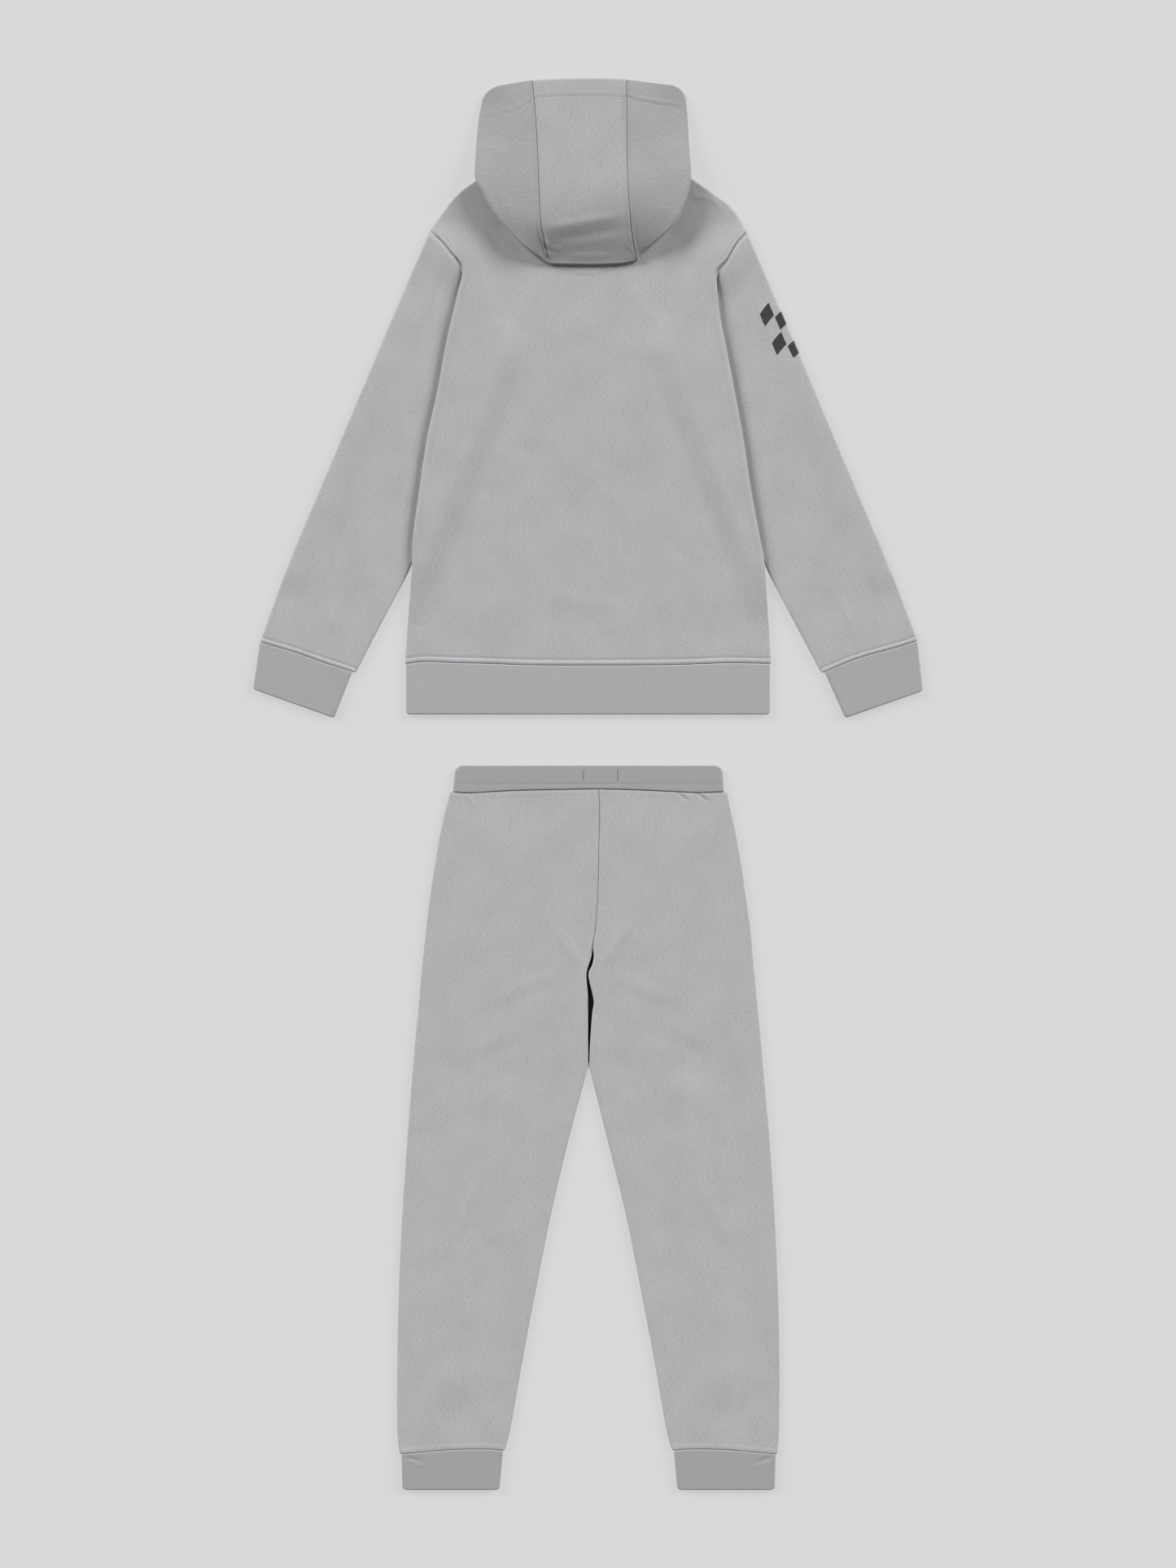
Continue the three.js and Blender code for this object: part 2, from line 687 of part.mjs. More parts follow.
function hoodSideSurface(lines, side, wallIn) {
  const plan = hoodSidePlan(lines, side);
  return countRows(0, lines.length - 1, 1).map((at) => {
    const edge = plan(at, 0);
    const seam = plan(at, 1);
    const width = distance(edge, seam);
    const foldRadius = readRow(lines, 'height', at) / 2;
    const returned = readRow(lines, 'returned', at) * width;
    const floor = hoodFloor(...edge);
    return hoodSideStations().map((station) => {
      if (station.flat === undefined) {
        const radius = foldRadius - wallIn;
        const fold = foldPoint(station.turn, foldRadius, radius, 1);
        const [x, y] = plan(at, fold.reach / width);
        return [x, y, floor + foldRadius + station.layer * radius * fold.rise];
      }
      if (station.layer < 0) {
        const [x, y] = plan(at, lerp(foldRadius, returned, station.flat) / width);
        return [x, y, hoodFloor(x, y) + wallIn];
      }
      const [x, y] = plan(at, lerp(foldRadius, width, station.flat) / width);
      const even = station.flat * (2 - station.flat);
      const ease = (even + smoothstep(station.flat, 0, 1)) / 2;
      return [x, y, lerp(floor + 2 * foldRadius, hoodTop(...seam), ease) - wallIn];
    });
  });
}

function hoodSide(name, lines, side) {
  const outer = hoodSideSurface(lines, side, 0);
  const inner = hoodSideSurface(lines, side, FLEECE.wall);
  return sewSolid(name, GREY_FLEECE, outer, inner, false);
}

function hoodCentreX(y, share) {
  const left = readTable(HOOD_SEAMS, 'y', 'left', y) + HOOD_SEAM_GAP / 2;
  const right = readTable(HOOD_SEAMS, 'y', 'right', y) - HOOD_SEAM_GAP / 2;
  return lerp(left, right, share);
}

const HOOD_CENTRE_SHARES = [0, 0.15, 0.32, 0.5, 0.68, 0.85, 1];
const HOOD_UPPER_ROWS = [
  1, 0.95, 0.89, 0.81, 0.72, 0.62, 0.52, 0.43, 0.35, 0.28, 0.22, 0.17, 0.12, 0.07, 0.03,
];
const HOOD_RETURN_ROWS = [0.3, 0.65, 1];
// The layer and the turn of each row round the fold at the hood's lower edge
const HOOD_FOLD_ROWS = [[1, 0], [1, 0.5], [1, 1], [-1, 0.5], [-1, 0]];

function hoodCentreSurface(wallIn) {
  const foldRadius = HOOD_FOLD_HEIGHT / 2;
  const radius = foldRadius - wallIn;
  const floor = FLEECE.height + LAYER_GAP;
  const across = (share, level) => {
    const middleX = hoodCentreX(level(0), share);
    const y = level(middleX);
    return [hoodCentreX(y, share), y];
  };
  const upper = HOOD_UPPER_ROWS.map((row) => HOOD_CENTRE_SHARES.map((share) => {
    const level = (x) => lerp(
      readTable(HOOD_LOWER_EDGE, 'x', 'y', x) + foldRadius,
      readTable(HOOD_MOUTH, 'x', 'y', x),
      row,
    );
    const [x, y] = across(share, level);
    return [x, y, hoodTop(x, y) - wallIn];
  }));
  const fold = HOOD_FOLD_ROWS.map(([layer, turn]) => HOOD_CENTRE_SHARES.map((share) => {
    const point = foldPoint(turn, foldRadius, radius, 1);
    const level = (edgeX) => readTable(HOOD_LOWER_EDGE, 'x', 'y', edgeX) + point.reach;
    const [x, y] = across(share, level);
    return [x, y, floor + foldRadius + layer * radius * point.rise];
  }));
  const under = HOOD_RETURN_ROWS.map((row) => HOOD_CENTRE_SHARES.map((share) => {
    const level = (x) => lerp(readTable(HOOD_LOWER_EDGE, 'x', 'y', x) + foldRadius, HOOD_NECK_Y, row);
    const [x, y] = across(share, level);
    return [x, y, floor + wallIn];
  }));
  return [...upper, ...fold, ...under];
}

function hoodCentre() {
  const outer = hoodCentreSurface(0);
  const inner = hoodCentreSurface(FLEECE.wall);
  return sewSolid('hood_centre', GREY_FLEECE, outer, inner, false);
}

// Joggers

const LEG_LAST = LEG_LINES.length - 1;
const SEAT_STATIONS = 5;
const FRONT_STATIONS = 4;

function legPlan(leftName, rightName) {
  return (at, share) => {
    const x = lerp(readRow(LEG_LINES, leftName, at), readRow(LEG_LINES, rightName, at), share);
    const waist = readTable(WAIST_SEAM, 'x', 'y', x) - SEAM_GAP / 2 - LEG_LINES[0].y;
    const ankle = readTable(ANKLE_SEAM, 'x', 'y', Math.abs(x)) + SEAM_GAP / 2 - LEG_LINES[LEG_LAST].y;
    const bend = waist * (1 - smoothstep(at, 0, 1)) + ankle * smoothstep(at, LEG_LAST - 1, LEG_LAST);
    return [x, readRow(LEG_LINES, 'y', at) + bend];
  };
}

function legRolled(half, innerSide) {
  return (at, side) => {
    if (side !== innerSide) return 1;
    if (half > 0) return readRow(LEG_LINES, 'rolled', at);
    return 1 - smoothstep(readRow(LEG_LINES, 'y', at), FRONTS_ROLLED_Y, FRONTS_PART_Y);
  };
}

function legPanel(name, half, edges, innerSide) {
  return sewPiece({
    name,
    look: GREY_FLEECE,
    cloth: FLEECE,
    half,
    stations: layerStations(half, evenShares(half > 0 ? SEAT_STATIONS : FRONT_STATIONS)),
    rows: plainRows(countRows(0, LEG_LAST, 1)),
    plan: legPlan(...edges),
    rolled: legRolled(half, innerSide),
    swells: half > 0 ? JOGGERS_SWELLS : undefined,
  });
}

// The set

const hoodie = new THREE.Group();
hoodie.position.y = HOODIE_Y;
hoodie.add(
  bodyPanel('back_panel', 1, 'back', BODY_SWELLS),
  bodyPanel('front_panel', -1, 'front'),
  sleeve('sleeve_left', 'left', LEFT_CUFF_SEAM),
  sleeve('sleeve_right', 'right', RIGHT_CUFF_SEAM),
  sleeveCuff('cuff_left', LEFT_CUFF_SEAM, [[-411.5, 31], [-311.5, -4.5]]),
  sleeveCuff('cuff_right', RIGHT_CUFF_SEAM, [[315.5, -4.5], [411.5, 29]]),
  hemBand(),
  hoodCentre(),
  hoodSide('hood_side_left', HOOD_LEFT_LINES, 'left'),
  hoodSide('hood_side_right', HOOD_RIGHT_LINES, 'right'),
);

const joggers = new THREE.Group();
joggers.position.y = JOGGERS_Y;
joggers.add(
  legPanel('seat_left', 1, ['leftOuter', 'leftSeat'], 1),
  legPanel('seat_right', 1, ['rightSeat', 'rightOuter'], -1),
  legPanel('leg_front_left', -1, ['leftOuter', 'leftFront'], 1),
  legPanel('leg_front_right', -1, ['rightFront', 'rightOuter'], -1),
  waistband(),
  ankleCuff('leg_cuff_left', [-229.2, -104.2], [[-228, 0], [-108.5, 0]], true),
  ankleCuff('leg_cuff_right', [105.2, 230.5], [[109.5, 0], [229.5, 0]], false),
);

const set = new THREE.Group();
set.add(hoodie, joggers);

export default set;
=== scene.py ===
"""A child's hoodie and joggers laid flat with their backs up.

Each cut and sewn piece is a thin shell of cloth worked out from short tables in millimetres:
X runs to the right, Y towards the hood and Z up. Each garment has a frame of its own, with Y
measured from its lowest edge, and is moved to its place in the set as its mesh is made.
"""
import math

import bpy
import numpy as np
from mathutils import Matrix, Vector
from mathutils.bvhtree import BVHTree


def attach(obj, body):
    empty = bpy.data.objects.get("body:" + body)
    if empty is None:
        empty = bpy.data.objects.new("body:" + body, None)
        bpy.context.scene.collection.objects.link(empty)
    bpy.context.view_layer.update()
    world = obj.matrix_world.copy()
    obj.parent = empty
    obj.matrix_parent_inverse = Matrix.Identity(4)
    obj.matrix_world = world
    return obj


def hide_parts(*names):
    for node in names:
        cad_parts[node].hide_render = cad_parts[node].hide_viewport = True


MM = 0.001
HOODIE_Y = 85.5
JOGGERS_Y = -866.5

# Wall of each cloth and the height of a flattened tube of it
FLEECE = {"wall": 2.0, "height": 5.0}
RIB = {"wall": 2.6, "height": 6.0}
SEAM_GAP = 0.3
LAYER_GAP = 0.3
# How high a piece lies where another is below it
LAYER_RISE = FLEECE["height"] + LAYER_GAP

# How far apart the points of the cloth lie, on the layer that shows and on the under layer, and
# how far from a sewn or cut end its first rows lie
FINE_STEP = 2.4
PLAIN_STEP = 9.0
END_PLACES = [0, 0.2, 0.6, 1.1, 1.8, 2.6, 3.6, 4.7, 5.8, 6.9, 8.0, 9.3, 11]
SEAM_PLACES = np.array(END_PLACES[:7])
FEWEST_STATIONS = 3
# Turns of a fold from its edge to its flat part, and from one layer's flat part to the other's
FOLD_TURNS = np.array([1, 0.85, 0.68, 0.5, 0.33, 0.16, 0])
FOLDS = len(FOLD_TURNS)
WHOLE_FOLD = np.concatenate([FOLD_TURNS[::-1], FOLD_TURNS[1:]])
FOLD_LAYERS = np.concatenate([np.ones(FOLDS), -np.ones(FOLDS - 1)])
# Square of the share of its wall that a cut edge keeps
CUT_EDGE = 0.02
# Points of a line that is read from a table
LINE_POINTS = 60
# Which way along X each side lies
OUTWARD = {"left": -1, "right": 1}


# Tables. Each row is a place on the garment and each column has a name


def table(names, rows):
    return {name: np.array(values, float) for name, values in zip(names.split(), zip(*rows))}


def smooth_at(keys, values, key):
    """The value at a key on a smooth curve through the table's rows."""
    last = len(keys) - 1
    before = np.maximum(np.arange(last + 1) - 1, 0)
    after = np.minimum(np.arange(last + 1) + 1, last)
    slopes = (values[after] - values[before]) / (keys[after] - keys[before])
    held = np.clip(key, keys[0], keys[-1])
    i = np.clip(np.searchsorted(keys, held) - 1, 0, last - 1)
    span = keys[i + 1] - keys[i]
    t = (held - keys[i]) / span
    start = values[i] * (1 + 2 * t) * (1 - t) ** 2
    end = values[i + 1] * (3 - 2 * t) * t**2
    leaving = slopes[i] * span * t * (1 - t) ** 2
    arriving = slopes[i + 1] * span * t**2 * (t - 1)
    return start + end + leaving + arriving


def read_table(rows, key_name, name, key):
    return smooth_at(rows[key_name], rows[name], key)


def line_y(line, x):
    return read_table(line, "x", "y", x)


def read_row(rows, name, at):
    """The value at a fractional row number."""
    values = rows[name]
    return smooth_at(np.arange(len(values), dtype=float), values, at)


def between(rows, left, right, at, share):
    """The value at a share of the way between two columns, at a fractional row number."""
    return lerp(read_row(rows, left, at), read_row(rows, right, at), share)


def running(steps):
    """Length up to each place, from the steps between the places."""
    return np.concatenate([[0], np.cumsum(steps)])


def unit(ways):
    return ways / np.linalg.norm(ways, axis=-1)[..., None]


def lerp(start, end, share):
    return start + (end - start) * share


def smoothstep(value, low, high):
    t = np.clip((value - low) / (high - low), 0, 1)
    return t * t * (3 - 2 * t)


def bump(value, width):
    """1 at zero, falling softly to 0 at the given width on both sides."""
    return 1 - smoothstep(np.abs(value), 0, width)


# Hoodie. Cross lines of the body, from the shoulder tips down to the hem seam. rise is how much
# of the shoulder's and the neck's shape a line keeps
BODY_LINES = table("leftX leftY rightX rightY rise", [
    [-194, 594, 195, 593, 1], [-180.5, 583, 181.5, 578, 0.9],
    [-170.5, 571, 170.5, 559, 0.8], [-154.5, 548, 158.5, 543, 0.65],
    [-160.5, 514, 159.5, 510, 0.45], [-166.5, 488, 163, 482, 0.28],
    [-173.5, 458, 168, 458, 0.15], [-184.5, 398, 179.5, 398, 0.05],
    [-197.5, 338, 190.5, 338, 0], [-206.5, 278, 199.5, 278, 0],
    [-214.5, 218, 210.5, 218, 0], [-216, 184, 216.5, 186, 0],
    [-220.5, 128, 221, 128, 0], [-225, 62, 225, 62, 0],
])
BODY_LAST = len(BODY_LINES["rise"]) - 1

# Upper edge of the back and the front: shoulder, neck and shoulder
SHOULDER_EDGE = table("x back front", [
    [-194, 594, 594], [-177.5, 618, 618], [-162.5, 637, 637], [-139.5, 655, 655],
    [-112.5, 670, 670], [-86.5, 681, 681], [-67.5, 668, 648], [-37.5, 659, 622], [0, 656, 613],
    [37.5, 659, 622], [67.5, 668, 648], [86.5, 681, 681], [112.5, 669, 669], [125.5, 660, 660],
    [154.5, 639, 639], [176.5, 622, 622], [195, 593, 593],
])
NECK_HALF_WIDTH = 86.5
SHOULDER_Y = 681

HEM_SEAM = table("x y", [
    [-225, 61.6], [-202, 64.4], [-167, 63.3], [-118, 62], [-76, 60.5], [-10, 60], [114, 61],
    [175, 63], [225, 62],
])
HEM_BAND = {
    "seam": HEM_SEAM, "seam_x": [-223.5, 223.5], "edge": [[-223.5, 0], [223.5, 0]], "corner": 4,
    "width": 440,
}

# Where the body rises over the sleeves that lie under its folds
TUCK_LINES = table("y innerX lift", [
    [110, 222, 0], [184, 206, 1], [278, 170, 1], [438, 112, 1], [498, 126, 1], [560, 144, 1],
    [605, 162, 0],
])
TUCK_RAMP = 40

# Cross lines of the sleeves, from the armhole to the cuff seam
SLEEVE_LINES = table("outerY leftOuter rightOuter innerY leftInner rightInner", [
    [592.8, -194.9, 195.3, 438, -124.5, 126], [509, -231, 231, 374, -147.7, 149],
    [425, -266.8, 267, 310, -171, 172], [341, -302.5, 302.5, 246, -194, 195],
    [257, -338, 338, 182, -217.2, 218], [173, -372.5, 373.5, 118, -250.2, 250.5],
    [89.5, -402.8, 405, 54, -284.5, 286],
])

# Armhole end of the sleeves, from the shoulder tip to the hidden underarm
ARMHOLE = table("share leftX leftY rightX rightY", [
    [0, -194.4, 593.4, 195.1, 592.6], [0.1, -180.9, 582.6, 181.9, 577.5],
    [0.2, -171, 570.7, 171, 558.7], [0.35, -155, 547.7, 159.1, 542.7],
    [0.65, -137.5, 498, 141, 496], [1, -124.5, 438, 126, 438],
])

# How much of the armhole shows, where it ends, and the rows of the body's lines over which the
# body's sides change there from sewn edges to folds
ARMHOLE_SHOWN = 0.35
ARMHOLE_END_Y = 545
ARMHOLE_END_ROWS = (2.6, 3.3)
ARMHOLE_POINTS = 12
SLEEVE_WIDTH = 150

CUFF_SEAMS = {
    "left": table("x y", [
        [-403, 88.8], [-359, 75.8], [-325.5, 63.8], [-300.5, 55.8], [-289.5, 51.8],
    ]),
    "right": table("x y", [
        [290.5, 51.5], [318.5, 63.8], [342.5, 72], [383.5, 83.4], [404.5, 90],
    ]),
}
CUFF_EDGES = {"left": [[-411.5, 31], [-311.5, -4.5]], "right": [[315.5, -4.5], [411.5, 29]]}
CUFF = {"corner": 3.5, "width": 110}

# Hood. Seams between its centre strip and its sides, and its mouth and lower edges
HOOD_SEAMS = table("y left right", [
    [552, -47.4, 60.2], [578, -53.5, 55.5], [598, -57.5, 52.5], [653, -60.3, 48.5],
    [708, -62.5, 47.6], [758, -66.5, 47.5], [781, -68.9, 47.5],
])
HOOD_MOUTH = table("x y", [
    [-118, 770], [-70.5, 778.2], [2.5, 781], [62.5, 778.4], [113, 770],
])
HOOD_LOWER_EDGE = table("x y", [
    [-48, 552.2], [0, 551.3], [40, 552.6], [60, 556],
])
HOOD_CROWN = table("y z", [
    [552, 10.3], [558, 11.4], [568, 15.2], [582, 21], [596, 25.6], [614, 28.2], [640, 27.4],
    [680, 21.5], [720, 14.8], [750, 10], [768, 7.6], [781, 5.4],
])
# The crease where the hood turns down crosses it at a slant, higher at the right
HOOD_SLANT = {"share": 0.17, "low": 552, "high": 690}

HOOD_SIDE_COLUMNS = "seamY edgeX edgeY height returned"
HOOD_SIDE_LINES = {"left": table(HOOD_SIDE_COLUMNS, [
    [778.4, -112, 771.4, 5, 0.12], [775.5, -119.5, 768, 5, 0.13],
    [771, -125.4, 762.6, 5, 0.14], [765, -129.4, 755.4, 5, 0.17],
    [755, -132, 744, 5.2, 0.24], [732, -134.5, 728, 6, 0.4],
    [708, -136.5, 706, 7.5, 0.7], [688, -137.6, 688, 10.5, 0.95],
    [673, -138.2, 673, 13.5, 1], [659, -138.5, 657.5, 16.5, 1],
    [642, -130, 639.5, 19, 1], [621, -115, 613, 20.5, 1],
    [601, -97.5, 591, 19.5, 1], [583, -80, 573.5, 17, 1],
    [569, -65, 562, 11.5, 1], [552.6, -57, 556.8, 5.4, 1],
]), "right": table(HOOD_SIDE_COLUMNS, [
    [779, 105.5, 772, 5, 0.12], [776.5, 112, 768.8, 5, 0.13],
    [772, 116.8, 764, 5, 0.14], [766, 119.9, 756.6, 5, 0.17],
    [755, 121.5, 744, 5.2, 0.24], [732, 122.5, 728, 6, 0.4],
    [708, 123.7, 706, 7.5, 0.7], [688, 124.6, 688, 10.5, 0.95],
    [675, 125.6, 675, 13.5, 1], [661, 126.5, 660.5, 16.5, 1],
    [643, 122.5, 638, 19, 1], [624, 114, 614, 20.5, 1],
    [605, 105, 598, 19.5, 1], [588, 90, 584, 17, 1],
    [574, 76, 572, 11.5, 1], [556.6, 68.5, 564.6, 5.4, 1],
])}
HOOD_NECK_Y = 650
HOOD_RAMP = {"start": 16, "end": 34, "soft_end": 96}
HOOD_SEAM_GAP = 0.3
HOOD_FOLD_HEIGHT = 5
# The sides' folds are no thicker than this, and stand clear of the shoulders where higher
HOOD_SIDE_FOLD = 6.5
HOOD_SIDE_WIDTH = 70
HOOD_CENTRE_WIDTH = 112
# Rows between two lines of a side, and stations or rows of the upper and the under layers
HOOD_SIDE_GRID = {"rows": 7, "upper": 28, "under": 12}
HOOD_CENTRE_GRID = {"stations": 44, "upper": 96, "under": 14}
# Shares of the upper layer where its relief begins, and of the under one where its lift ends
HOOD_SIDE_SOFT = {"relief": 0.2, "lift": 0.7}

# Joggers. Cross lines of the legs, from the waist seam to the ankle seam. Seat is the inner edge
# of a back and Front that of a front, and rolled is how far the seat's inner edge turns down
LEG_LINES = table("y leftOuter leftSeat rightSeat rightOuter leftFront rightFront rolled", [
    [857, -169.7, 12.85, 13.15, 171, 2, 2, 0], [830, -176.5, 14.15, 14.45, 176.5, 2, 2, 0],
    [786, -185.5, 13.05, 13.35, 185.5, 2, 2, 0], [726, -194.5, 11.85, 12.15, 194.5, 2, 2, 0],
    [690, -199, 9.05, 9.35, 199.5, 2.1, 2.1, 0], [667, -201.5, 5.3, 5.9, 201.5, 2.2, 2.2, 0.2],
    [655, -202.8, 4.3, 6.9, 202.8, 2.2, 2.2, 0.6], [644, -203.8, 0.8, 4.8, 203.8, 2.2, 2.2, 0.8],
    [632, -205, -1.9, 0.3, 205, 2.2, 2.2, 0.9], [610, -207, -0.3, 5.2, 207, 2.2, 2.2, 1],
    [598, -208, -0.2, 7.2, 208, 2.2, 2.2, 1], [585, -209.3, -0.1, 5.3, 209.3, 2, 2, 1],
    [559, -211.8, 0, 3.2, 211.8, 1.6, 1.6, 1], [524, -214.8, 0.1, 1.7, 215, 0.9, 0.9, 1],
    [505, -216.5, -3.4, 4.7, 216.6, -3.4, 4.7, 1], [486, -218, -8.5, 9.5, 218.3, -8.5, 9.5, 1],
    [426, -222.5, -24.5, 24.5, 223.5, -24.5, 24.5, 1],
    [336, -228.5, -45.5, 46.5, 229.5, -45.5, 46.5, 1],
    [246, -232.5, -63.5, 64.5, 233.5, -63.5, 64.5, 1],
    [156, -234.5, -80.5, 81.5, 235.5, -80.5, 81.5, 1],
    [76, -234.6, -94.7, 95.4, 235, -94.7, 95.4, 1], [49, -231.5, -102, 103, 232.5, -102, 103, 1],
])
LEG_LAST = len(LEG_LINES["y"]) - 1
LEG_WIDTH = 190
# Where the fronts' inner edges part, and where they are whole folds
FRONTS_PART_Y = 524
FRONTS_ROLLED_Y = 500

WAIST_SEAM = table("x y", [
    [-170, 857], [-147, 855.4], [-112, 857.3], [-80, 858.7], [-30, 859.6], [0, 860.2], [46, 859.6],
    [100, 857.4], [136, 855.8], [171, 857],
])
ANKLE_SEAM = table("x y", [
    [104, 48], [118, 49.5], [155, 49.5], [180, 48.2], [206, 45.8], [230, 43.6],
])
WAISTBAND = {
    "seam": WAIST_SEAM, "seam_x": [-166, 167.3], "edge": [[-162.7, 889.5], [164.5, 889.5]],
    "corner": 9, "width": 330, "gap": SEAM_GAP / 2,
}
ANKLES = {
    "left": {"seam_x": [-229.2, -104.2], "edge": [[-228, 0], [-108.5, 0]], "mirrored": True},
    "right": {"seam_x": [105.2, 230.5], "edge": [[109.5, 0], [229.5, 0]]},
}
ANKLE = {"seam": ANKLE_SEAM, "corner": 4, "width": 122}

# Soft swells and creases of the upper layers: a ridge from one place to another, or a trough
# where its height is below zero
SWELL_COLUMNS = "fromX fromY toX toY halfWidth height"
BODY_SWELLS = table(SWELL_COLUMNS, [
    [-95, 420, -105, 150, 75, 1.6], [85, 440, 110, 160, 75, 1.8],
    [-10, 470, 15, 330, 60, 1.2],
])
SLEEVE_SWELLS = table(SWELL_COLUMNS, [
    [-255, 430, -360, 180, 38, 1.8], [255, 430, 362, 180, 38, 1.8],
])
JOGGERS_SWELLS = table(SWELL_COLUMNS, [
    [-95, 780, -110, 560, 70, 1.8], [100, 790, 112, 570, 70, 1.8],
    [-130, 470, -165, 140, 55, 1.8], [130, 480, 168, 140, 55, 1.8],
])

# Creases, as ridges or as troughs below zero, each tapered to both its ends
BODY_CREASES = table(SWELL_COLUMNS, [
    [127, 636, 151, 634, 5, 0.9], [150, 634, 164, 621, 4, 0.7],
    [-118, 612, -72, 556, 13, -0.8], [-140, 606, -98, 548, 11, 0.6],
    [112, 604, 78, 552, 12, -0.6], [-158, 532, -150, 452, 8, -0.7],
    [-148, 540, -138, 470, 7, 0.5], [152, 524, 146, 450, 8, -0.6],
    [-60, 528, -92, 470, 15, 0.5], [48, 530, 84, 476, 14, 0.5],
    [-203, 250, -196, 130, 9, -0.6], [204, 236, 208, 120, 8, -0.5],
    [-60, 150, 40, 128, 16, 0.4], [90, 210, 150, 170, 18, -0.4],
    [-130, 330, -70, 300, 20, 0.4],
])
SLEEVE_CREASES = table(SWELL_COLUMNS, [
    [-176, 552, -196, 470, 7, -0.36], [-190, 540, -222, 440, 10, 0.36],
    [178, 540, 200, 455, 8, -0.36], [198, 536, 230, 430, 10, 0.36],
    [-214, 330, -236, 250, 8, -0.36], [216, 330, 238, 246, 8, -0.3],
    [-300, 150, -322, 96, 7, 0.36], [-326, 150, -345, 100, 6, -0.3],
    [-352, 168, -366, 108, 7, 0.3], [306, 150, 330, 92, 7, 0.36],
    [344, 168, 362, 112, 7, -0.3], [-290, 420, -318, 350, 9, -0.24],
    [288, 426, 316, 352, 9, -0.24],
])
# Soft ridges of the hood: the crease where it turns down, and small folds beside its seams
HOOD_CREASES = table(SWELL_COLUMNS, [
    [-60, 592, 50, 611, 9, 1.1], [-50, 578, 52, 596, 10, -0.9],
    [-56, 583, -47, 571, 3.5, 0.7], [-47, 571, -31, 570, 3.5, 0.6],
    [-57, 576, -46, 566, 2.6, -0.6], [-54, 568, -43, 560, 2.6, 0.6],
    [-53, 562, -40, 555, 2.4, -0.5], [44, 580, 56, 566, 3, 0.5],
    [46, 572, 57, 560, 2.6, -0.5], [-30, 560, 34, 562, 6, 0.7],
    [105, 600, 78, 574, 6, -0.9], [-104, 640, -96, 604, 10, 0.7],
    [84, 640, 92, 606, 9, 0.6], [-110, 700, -96, 660, 14, 0.5],
    [100, 712, 94, 668, 14, 0.5],
])
JOGGERS_CREASES = table(SWELL_COLUMNS, [
    [110, 856, 121, 846, 3.2, -0.8], [116, 857, 127, 847, 3, 0.5],
    [133, 856, 147, 845, 3.4, -0.9], [139, 857, 152, 846, 3, 0.5],
    [-148, 852, -136, 838, 5, 0.5], [-40, 690, -8, 640, 12, 0.7],
    [54, 700, 16, 640, 12, 0.6], [-26, 640, -120, 600, 14, 0.5],
    [30, 632, 116, 596, 14, 0.5], [-60, 560, -150, 520, 17, -0.5],
    [66, 566, 158, 528, 17, -0.5], [-120, 410, -170, 300, 13, 0.5],
    [126, 400, 176, 296, 13, 0.5], [-196, 120, -180, 62, 7, 0.5],
    [-150, 118, -142, 64, 6, -0.4], [150, 116, 146, 62, 6, 0.5],
    [196, 122, 188, 62, 7, -0.5], [-120, 100, -116, 60, 5, 0.5],
    [120, 104, 118, 62, 5, -0.4],
])
BAND_CREASES = table(SWELL_COLUMNS, [
    [228, 42, 203, 31, 4, -0.8], [222, 36, 200, 27, 3.4, 0.5],
    [-226, 41, -202, 34, 4, -0.7], [-220, 36, -196, 29, 3.4, 0.4],
])
# How far a crease tapers at each end, and the share of its height that is left there
CREASE_TAPER = 0.3
CREASE_END = 0.15

# How a sewn edge is finished. It is fullest over the seam allowance behind it, dips along its
# stitching where it has any, and puckers a little between the two
HEM_FINISH = {"lip": 0.55, "width": 6.5, "dip": 0.5, "stitch": 7.0, "pucker": 0.10}
CUFF_FINISH = {"lip": 0.55, "width": 6.0, "dip": 0.5, "stitch": 6.0, "pucker": 0.20}
ARMHOLE_FINISH = {"lip": 0.15, "width": 5.0, "dip": 0.3, "stitch": 5.5, "pucker": 0.06}
ANKLE_FINISH = {"lip": 0.25, "width": 8.0, "dip": 0.0, "stitch": 8.0, "pucker": 0.12}
WAIST_FINISH = {"lip": 0.14, "width": 8.0, "dip": 0.0, "stitch": 7.0, "pucker": 0.10}
SEAT_FINISH = {"lip": 0.35, "width": 5.0, "dip": 0.0, "stitch": 5.0, "pucker": 0.05}
HOOD_FINISH = {"lip": 0.75, "width": 4.4, "dip": 0.3, "stitch": 4.6, "pucker": 0.05}
# Half width of the dip along a row of stitches
STITCH_WIDTH = 1.9
# Lengths of the puckers and of the waves that make them uneven, how far those reach, and how
# far beyond the seam's lip the puckers end
PUCKER = {"length": 5.3, "wander": 41, "fade": 67, "turn": 1.7, "even": 0.6, "beyond": 1.5}

# Beside the body's side folds the sleeves dip, and the body is fullest just within them
TUCK_EDGE = {
    "ridge": 0.7, "within": 4.5, "dip": 1.0, "dip_width": 16, "high": 560, "low": 170, "soft": 60,
}

# How finely the knots of the shoulder's edge are kept, and how close two stations may lie
KNOT_DIGITS = 4
CLOSEST_SHARES = 0.0015

# Beside the part of the armhole that shows, the sleeve rises to the body that it is sewn to
ARMHOLE_RISE = {
    "reach": 45, "from_share": 0.3, "to_share": 0.45, "soft": 3, "below": 1.1, "edge": 6,
}

# The waistband's join at the centre back, and the dips of its rows of stitches
WAIST_JOIN_X = 14.5
WAIST_DIPS = {"join": 0.6, "tack": 0.5, "channel": 0.3, "half_width": 1.7}
# How far outside and inside its ends a tack's dip begins
TACK_ENDS = {"outside": 1.5, "inside": 0.5}

